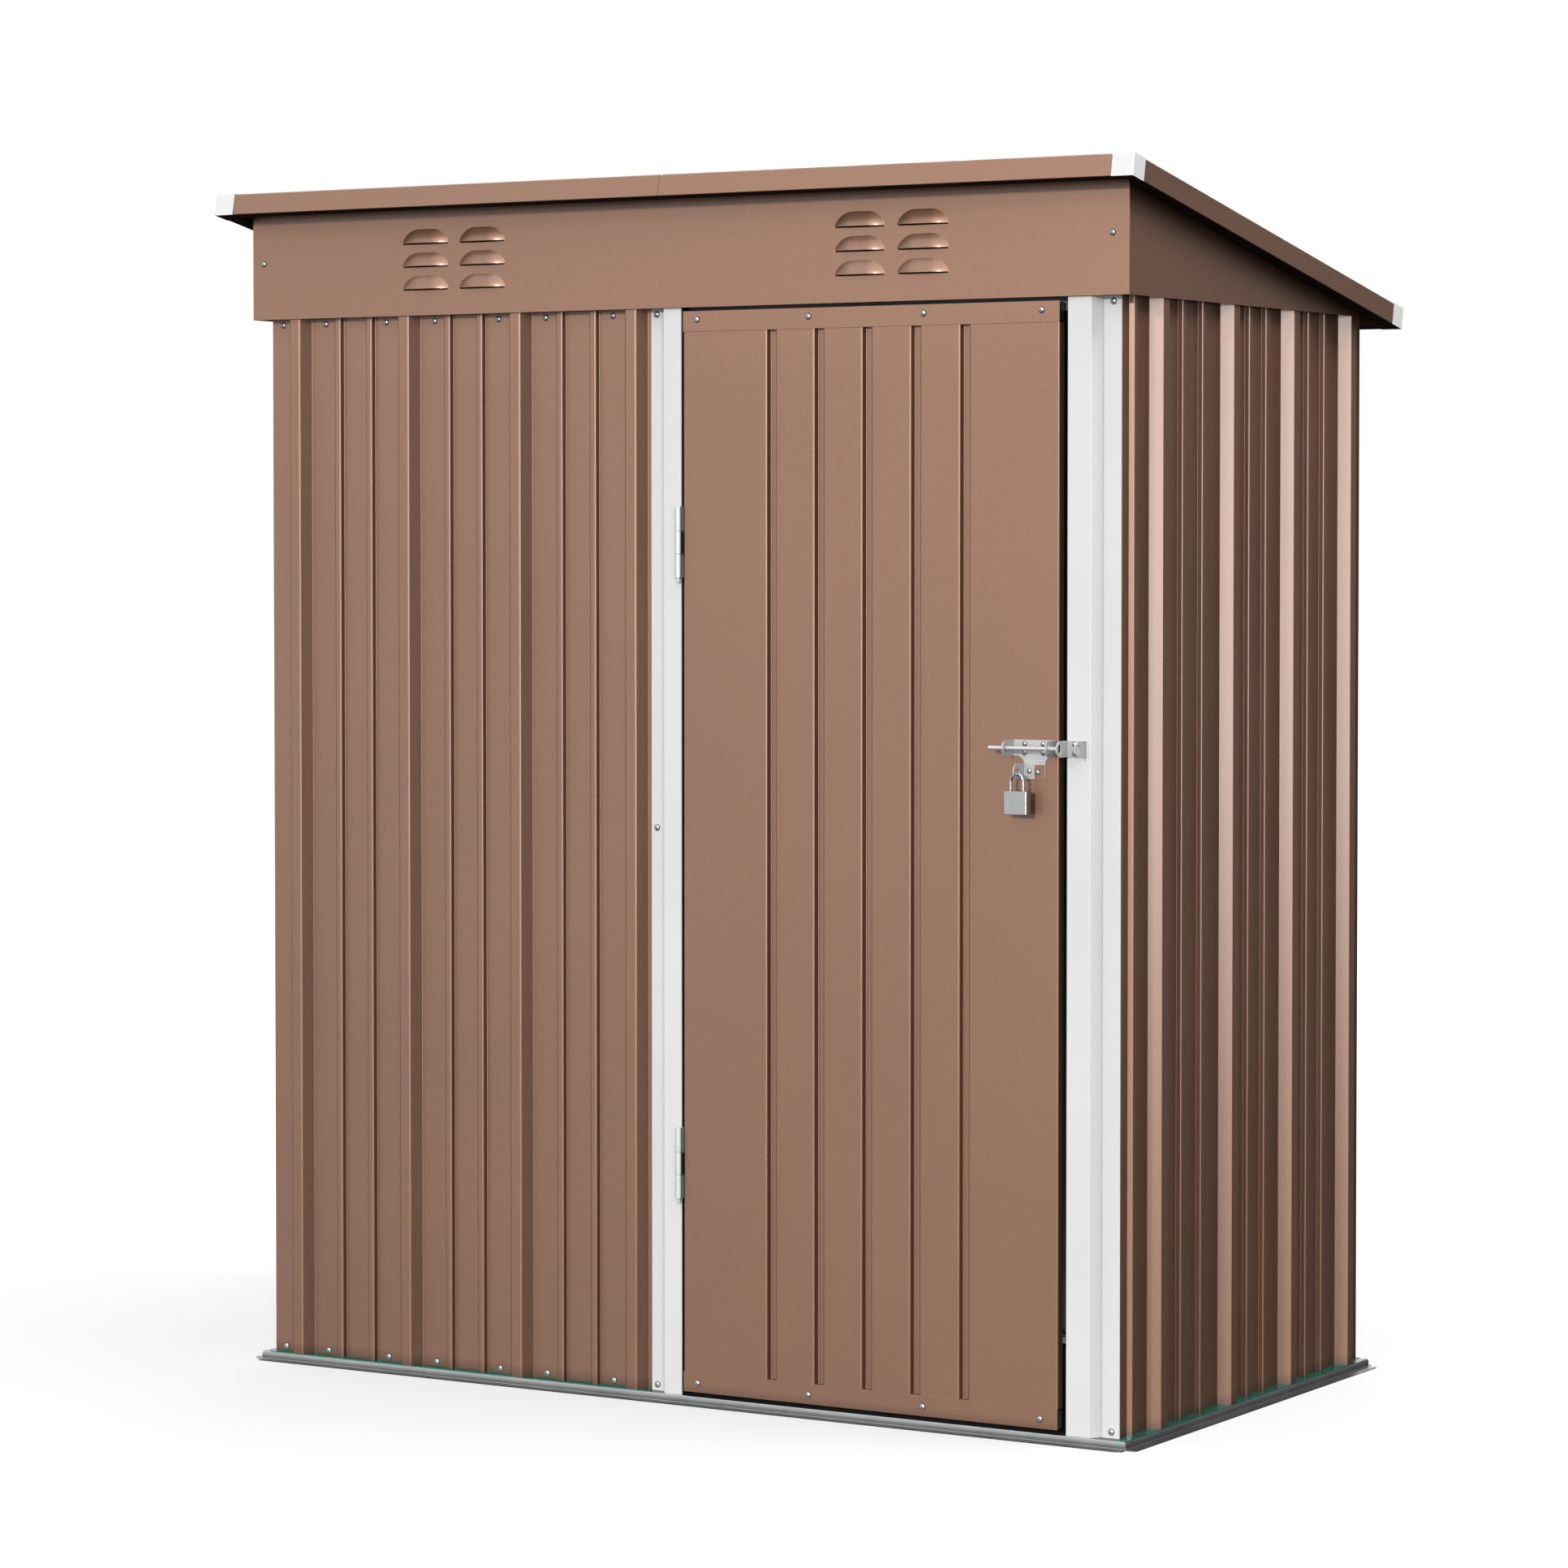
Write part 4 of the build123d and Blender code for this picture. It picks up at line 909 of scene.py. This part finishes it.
# ---------------------------------------------------------------- screws
# pan head with a cross recess, cut once and then copied
def head_mesh(rad=4.3, high=2.4):
    bm = bmesh.new()
    segs = 28
    prof = [(0.0, 0.0), (rad, 0.0), (rad, 0.35)]
    prof += [(rad * math.cos(a) ** 0.9 if a < 1.5707 else 0.0, 0.35 + (high - 0.35) * math.sin(a)) for a in [math.pi / 2 * k / 7 for k in range(1, 8)]]
    rings = []
    for rr, h in prof:
        rings.append([bm.verts.new((0, 0, h))] if rr < 1e-4 else
                     [bm.verts.new((rr * math.cos(2 * math.pi * k / segs), rr * math.sin(2 * math.pi * k / segs), h)) for k in range(segs)])
    for a, b in zip(rings, rings[1:]):
        for k in range(segs):
            k2 = (k + 1) % segs
            if len(a) == 1:
                bm.faces.new((a[0], b[k2], b[k]))
            elif len(b) == 1:
                bm.faces.new((a[k], a[k2], b[0]))
            else:
                bm.faces.new((a[k], a[k2], b[k2], b[k]))
    bmesh.ops.recalc_face_normals(bm, faces=bm.faces[:])
    me = bpy.data.meshes.new("head")
    bm.to_mesh(me)
    bm.free()
    bm = bmesh.new()
    w0, l0, w1, l1 = 0.30, 1.2, 0.62, 2.3
    def cross(w, l, h):
        return [bm.verts.new((x, y, h)) for x, y in ((w, w), (w, l), (-w, l), (-w, w), (-l, w), (-l, -w), (-w, -w), (-w, -l), (w, -l), (w, -w), (l, -w), (l, w))]
    lo, hi = cross(w0, l0, 0.7), cross(w1, l1, high + 0.4)
    for k in range(12):
        k2 = (k + 1) % 12
        bm.faces.new((lo[k], lo[k2], hi[k2], hi[k]))
    bm.faces.new(lo[::-1])
    bm.faces.new(hi)
    bmesh.ops.recalc_face_normals(bm, faces=bm.faces[:])
    tool = bpy.data.meshes.new("cross")
    bm.to_mesh(tool)
    bm.free()
    a, b = bpy.data.objects.new("head", me), bpy.data.objects.new("cross", tool)
    for o in (a, b):
        bpy.context.scene.collection.objects.link(o)
    mod = a.modifiers.new("cut", "BOOLEAN")
    mod.operation, mod.solver, mod.object = "DIFFERENCE", "EXACT", b
    bpy.context.view_layer.update()
    made = bpy.data.meshes.new_from_object(a.evaluated_get(bpy.context.evaluated_depsgraph_get()))
    for o in (a, b):
        bpy.data.objects.remove(o)
    return made


HEAD = head_mesh()


def spun(place, deg):
    c, s = math.cos(math.radians(deg)), math.sin(math.radians(deg))
    return lambda a, b, h: place(a * c - b * s, a * s + b * c, h)


def front_at(x, y, z):
    return lambda a, b, h: (x + a, y - h, z + b)


def back_at(x, y, z):
    return lambda a, b, h: (x - a, y + h, z + b)


def roof_at(x, v, n, low=0.7):
    return lambda a, b, h: T(x + a, v + b, n + h * low)


turn = [0]


# a black ring under each head: a rubber washer, and painted contact shade round the head
WASHER_AND_SHADE = [(0, 0.05), (4.85, 0.05), (5.0, 0.14), (4.85, 0.3), (4.0, 0.34), (0, 0.34)]


def screws(name, places, body="shell"):
    p = Piece(name, "screw", "dark", body=body)
    for pl in places:
        turn[0] = (turn[0] + 37) % 90
        p.copy(HEAD, spun(pl, turn[0]))
        p.lathe(WASHER_AND_SHADE, pl, 28, 1)
    p.done(30)


FRONT_X = [-1491.0, -1409.5, -1295.3, -1205.0, -1087.7, -1002.1, -882.0]
screws("screws_front", [front_at(x, 34.0, z) for x in FRONT_X for z in (1608.0, 20.2)])
screws("screws_posts", [front_at(-804.1, 33.0, z) for z in (1608.0, 850.0, 21.0)] + [front_at(-47.4, 33.0, z) for z in (1608.4, 21.0)])
screws("screws_fascia", [front_at(-1511.5, 12.0, 1701.9), front_at(-38.2, 12.0, 1702.8)])
screws("screws_door", [front_at(x, 14.2, z) for x in (-722.5, -532.5, -341.7, -151.3) for z in (1597.8, 32.6)], "door")
screws("screws_back", [back_at(x, BASE_D - 34.0, z) for x0 in (-1511.0, -769.0) for x in [x0 + 12.0, x0 + 115.0, x0 + 207.0, x0 + 320.0, x0 + 412.0, x0 + 525.0, x0 + 617.0, x0 + 725.0] for z in (1608.0, 21.0)])
screws("screws_roof", [roof_at(x, v, TRIM_H) for v in (9.0, ROOF_L - 9.0) for x in [-1490.0 + k * 240.0 for k in range(7)]]
       + [roof_at(x, v, TRIM_H) for x in (ROOF_X0 + 9.0, ROOF_X1 - 9.0) for v in (110.0, 345.0, 580.0, 815.0)]
       + [roof_at(SEAM + dx, v, SHEET_N + SHEET_T) for dx in (-8.0, 8.0) for v in (120.0, 300.0, 480.0, 660.0, 820.0)])
screws("screws_ledge", [lambda a, b, h, x=x, y=y: (x + a * 0.55, y + b * 0.55, RAIL_H + h * 0.4)
                        for x, y in ((-23.5, 23.5), (-BASE_W + 23.5, 23.5), (-23.5, BASE_D - 23.5), (-BASE_W + 23.5, BASE_D - 23.5))])


def small_heads(name, spots, y, body):
    p = Piece(name, "screw", "dark", body=body)
    for x, z in spots:
        turn[0] = (turn[0] + 37) % 90

        def at(a, b, h, x=x, z=z):
            return x + a * 0.80, y - h * 0.9, z + b * 0.80
        p.copy(HEAD, spun(at, turn[0]))
        p.lathe(WASHER_AND_SHADE, at, 24, 1)
    p.done(30)


small_heads("screws_latch", [(-176.8, 987.9), (-147.1, 987.8), (-176.8, 975.3), (-147.1, 975.1), (-169.4, 949.6), (-155.9, 947.8)], PY, "door")
small_heads("screws_keeper", [(-98.5, 988.2), (-98.5, 975.6)], 15.0, "shell")


# near-black discs stand in for the holes: painted shade in place of openings
def holes(name, spots, places):
    p = Piece(name, "dark", "brown")
    for s in spots:
        p.lathe([(0, 0.0), (0.9, 0.0), (1.15, 0.18), (1.55, 0.18), (1.7, 0.02), (1.7, -0.2), (0, -0.2)], places(*s), 16)
    p.done()


side_y = (96.5, 187.0, 320.8, 523.5, 727.9)
holes("rivet_holes_right", [(y, z) for y in side_y for z in (19.7, 1608.0)], lambda y, z: lambda a, b, h: (-34.0 + h, y + a, z + b))
holes("rivet_holes_left", [(y, z) for y in side_y for z in (19.7, 1608.0)], lambda y, z: lambda a, b, h: (-BASE_W + 34.0 - h, y + a, z + b))

# ---------------------------------------------------------------- carried-over CAD nodes
# the frame inside the shed takes the darkened galvanised, painted shade
for n, k in (("sill_strips", "green"), ("corner_post_left", "inner"), ("top_rail_front", "inner"), ("top_rail_back", "inner"),
             ("top_rail_left", "inner"), ("top_rail_right", "inner"), ("roof_header", "inner"), ("roof_beam", "inner"),
             ("fascia_left", "brown"), ("fascia_right", "brown")):
    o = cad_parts[n]
    o.data.materials.clear()
    o.data.materials.append(M[k])
    for poly in o.data.polygons:
        poly.material_index = 0
    if k != "green":
        b = o.modifiers.new("edges", "BEVEL")
        b.width, b.segments, b.limit_method, b.angle_limit = 0.00028, 2, "ANGLE", math.radians(40)
        b.harden_normals = False

# ---------------------------------------------------------------- floor, light and camera
me = bpy.data.meshes.new("floor")
bm = bmesh.new()
bmesh.ops.create_grid(bm, x_segments=8, y_segments=8, size=60.0)
bm.to_mesh(me)
bm.free()
floor = bpy.data.objects.new("floor", me)
floor.location.z = -0.0004
bpy.context.scene.collection.objects.link(floor)
fm = bpy.data.materials.new("pale_floor")
fm.use_nodes = True
p = fm.node_tree.nodes["Principled BSDF"]
p.inputs["Base Color"].default_value = (0.36, 0.36, 0.36, 1.0)
p.inputs["Roughness"].default_value = 1.0
p.inputs["Specular IOR Level"].default_value = 0.0
p.inputs["Emission Color"].default_value = (1.0, 1.0, 1.0, 1.0)
ft = fm.node_tree
place = node(ft, "ShaderNodeTexCoord").outputs["Object"]
away = node(ft, "ShaderNodeVectorMath", operation="LENGTH")
ft.links.new(place, away.inputs[0])
# the part of it inside the walls is in the dark
spot = node(ft, "ShaderNodeSeparateXYZ")
ft.links.new(place, spot.inputs[0])
wide = summed(ft, summed(ft, spot.outputs["X"], 0.0, "ABSOLUTE"), 0.745, "GREATER_THAN")
deep = summed(ft, summed(ft, summed(ft, spot.outputs["Y"], -0.015), 0.0, "ABSOLUTE"), 0.40, "GREATER_THAN")
outside = summed(ft, wide, deep, "MAXIMUM")
# the floor glows less near the shed, from 1 m to 4 m out from its middle: painted shade round it
ft.links.new(summed(ft, spread(ft, away.outputs["Value"], 0.58, 0.85, 1.0, 4.0), outside, "MULTIPLY"), p.inputs["Emission Strength"])
me.materials.append(fm)
floor.visible_diffuse = False
floor.visible_glossy = False

scene = bpy.context.scene
scene.view_settings.view_transform = "Standard"
scene.view_settings.look = "None"
scene.view_settings.exposure = 0.0
scene.view_settings.gamma = 1.0

world = bpy.data.worlds.new("studio")
scene.world = world
world.cycles.sampling_method = "NONE"
world.use_nodes = True
nt = world.node_tree
nt.nodes.clear()
out = node(nt, "ShaderNodeOutputWorld")
direction = node(nt, "ShaderNodeTexCoord").outputs["Generated"]
sep = node(nt, "ShaderNodeSeparateXYZ")
nt.links.new(direction, sep.inputs[0])


def step(value, a, b, lo, hi):
    m = node(nt, "ShaderNodeMapRange", interpolation_type="SMOOTHSTEP")
    m.inputs["From Min"].default_value, m.inputs["From Max"].default_value = a, b
    m.inputs["To Min"].default_value, m.inputs["To Max"].default_value = lo, hi
    nt.links.new(value, m.inputs["Value"])
    return m.outputs[0]


def mult(a, b, kind="MULTIPLY"):
    m = node(nt, "ShaderNodeMath", operation=kind)
    nt.links.new(a, m.inputs[0])
    if isinstance(b, float):
        m.inputs[1].default_value = b
    else:
        nt.links.new(b, m.inputs[1])
    return m.outputs[0]


# the studio is dim low down and behind the object, brighter in front of it and overhead
ahead = mult(mult(sep.outputs["X"], -0.26), mult(sep.outputs["Y"], -0.966), "ADD")
front = step(ahead, -0.45, 0.64, 0.12, 0.57)
behind = mult(mult(sep.outputs["X"], -0.50), mult(sep.outputs["Y"], 0.866), "ADD")
rear = step(behind, 0.66, 0.98, 0.0, 0.36)
high = step(sep.outputs["Z"], 0.45, 0.95, 0.0, 1.0)
glow = mult(mult(high, front, "ADD"), rear, "ADD")
low = step(sep.outputs["Z"], -0.35, 0.02, 0.08, 1.0)
depth = node(nt, "ShaderNodeLightPath").outputs["Ray Depth"]
once = node(nt, "ShaderNodeMapRange")
once.inputs["From Min"].default_value, once.inputs["From Max"].default_value = 2.0, 3.0
once.inputs["To Min"].default_value, once.inputs["To Max"].default_value = 1.0, 0.38
nt.links.new(depth, once.inputs["Value"])
level = mult(mult(glow, low), once.outputs[0])
lit = node(nt, "ShaderNodeBackground")
nt.links.new(level, lit.inputs["Strength"])
lit.inputs["Color"].default_value = (1.0, 1.0, 1.0, 1.0)
seen = node(nt, "ShaderNodeBackground")
seen.inputs["Color"].default_value = (1.0, 1.0, 1.0, 1.0)
seen.inputs["Strength"].default_value = 1.0
path_node = node(nt, "ShaderNodeLightPath")
mix = node(nt, "ShaderNodeMixShader")
nt.links.new(path_node.outputs["Is Camera Ray"], mix.inputs[0])
nt.links.new(lit.outputs[0], mix.inputs[1])
nt.links.new(seen.outputs[0], mix.inputs[2])
nt.links.new(mix.outputs[0], out.inputs["Surface"])


def aim(ob, at):
    ob.rotation_mode = "QUATERNION"
    ob.rotation_quaternion = (Vector(at) - ob.location).to_track_quat("-Z", "Y")


key = bpy.data.objects.new("key", bpy.data.lights.new("key", "SUN"))
key.data.energy = 1.36
key.data.angle = math.radians(4.0)
key.location = Vector((0.045, -1.0, 0.235)) * 8
aim(key, (0, 0, 0))
scene.collection.objects.link(key)


def first_hit(lamp, rest):
    """Keeps a light's full strength for what it lights directly, and rest of it in reflections."""
    lamp.use_nodes = True
    lamp.cycles.use_multiple_importance_sampling = False
    tree = lamp.node_tree
    glow_node = next(n for n in tree.nodes if n.type == "EMISSION")
    deep = tree.nodes.new("ShaderNodeMapRange")
    deep.inputs["From Min"].default_value, deep.inputs["From Max"].default_value = 1.0, 2.0
    deep.inputs["To Min"].default_value, deep.inputs["To Max"].default_value = 1.0, rest
    tree.links.new(tree.nodes.new("ShaderNodeLightPath").outputs["Ray Depth"], deep.inputs["Value"])
    tree.links.new(deep.outputs[0], glow_node.inputs["Strength"])


first_hit(key.data, 0.35)


def panel(name, az, el, far, wide, tall, radiance, at):
    """A soft light; az from the front towards the right, el above the horizon."""
    a, e = math.radians(az), math.radians(el)
    ob = bpy.data.objects.new(name, bpy.data.lights.new(name, "AREA"))
    ob.data.shape, ob.data.size, ob.data.size_y = "RECTANGLE", wide, tall
    ob.data.energy = radiance * math.pi * wide * tall
    ob.location = Vector(at) + far * Vector((math.sin(a) * math.cos(e), -math.cos(a) * math.cos(e), math.sin(e)))
    aim(ob, at)
    ob.visible_camera = False
    scene.collection.objects.link(ob)
    return ob


side = bpy.data.objects.new("side_key", bpy.data.lights.new("side_key", "SUN"))
side.data.energy = 0.32
side.data.angle = math.radians(1.2)
side.location = Vector((0.56, -0.71, 0.42)) * 8
aim(side, (0, 0, 0))
scene.collection.objects.link(side)
first_hit(side.data, 0.2)
first_hit(panel("softbox", 40.5, 2.8, 9.0, 1.5, 2.8, 6.4, (0.3, -0.2, 0.9)).data, 0.05)
first_hit(panel("fill", 98.0, 50.0, 6.0, 2.5, 2.5, 10.2, (0.0, 0.0, 0.9)).data, 0.3)
first_hit(panel("rear_fill", 206.0, 32.0, 8.0, 4.6, 4.0, 1.9, (0.0, 0.0, 0.9)).data, 0.1)

cam_data = bpy.data.cameras.new("camera")
camera = bpy.data.objects.new("camera", cam_data)
scene.collection.objects.link(camera)
camera.location = (3.848352, -6.451082, 1.265529)
camera.rotation_euler = (math.radians(90.0 - 1.867826), 0.0, math.radians(31.099228))
cam_data.lens, cam_data.sensor_width, cam_data.sensor_fit = 111.86315, 36.0, "HORIZONTAL"
cam_data.shift_y = -0.05
cam_data.clip_start, cam_data.clip_end = 0.05, 200.0
scene.camera = camera
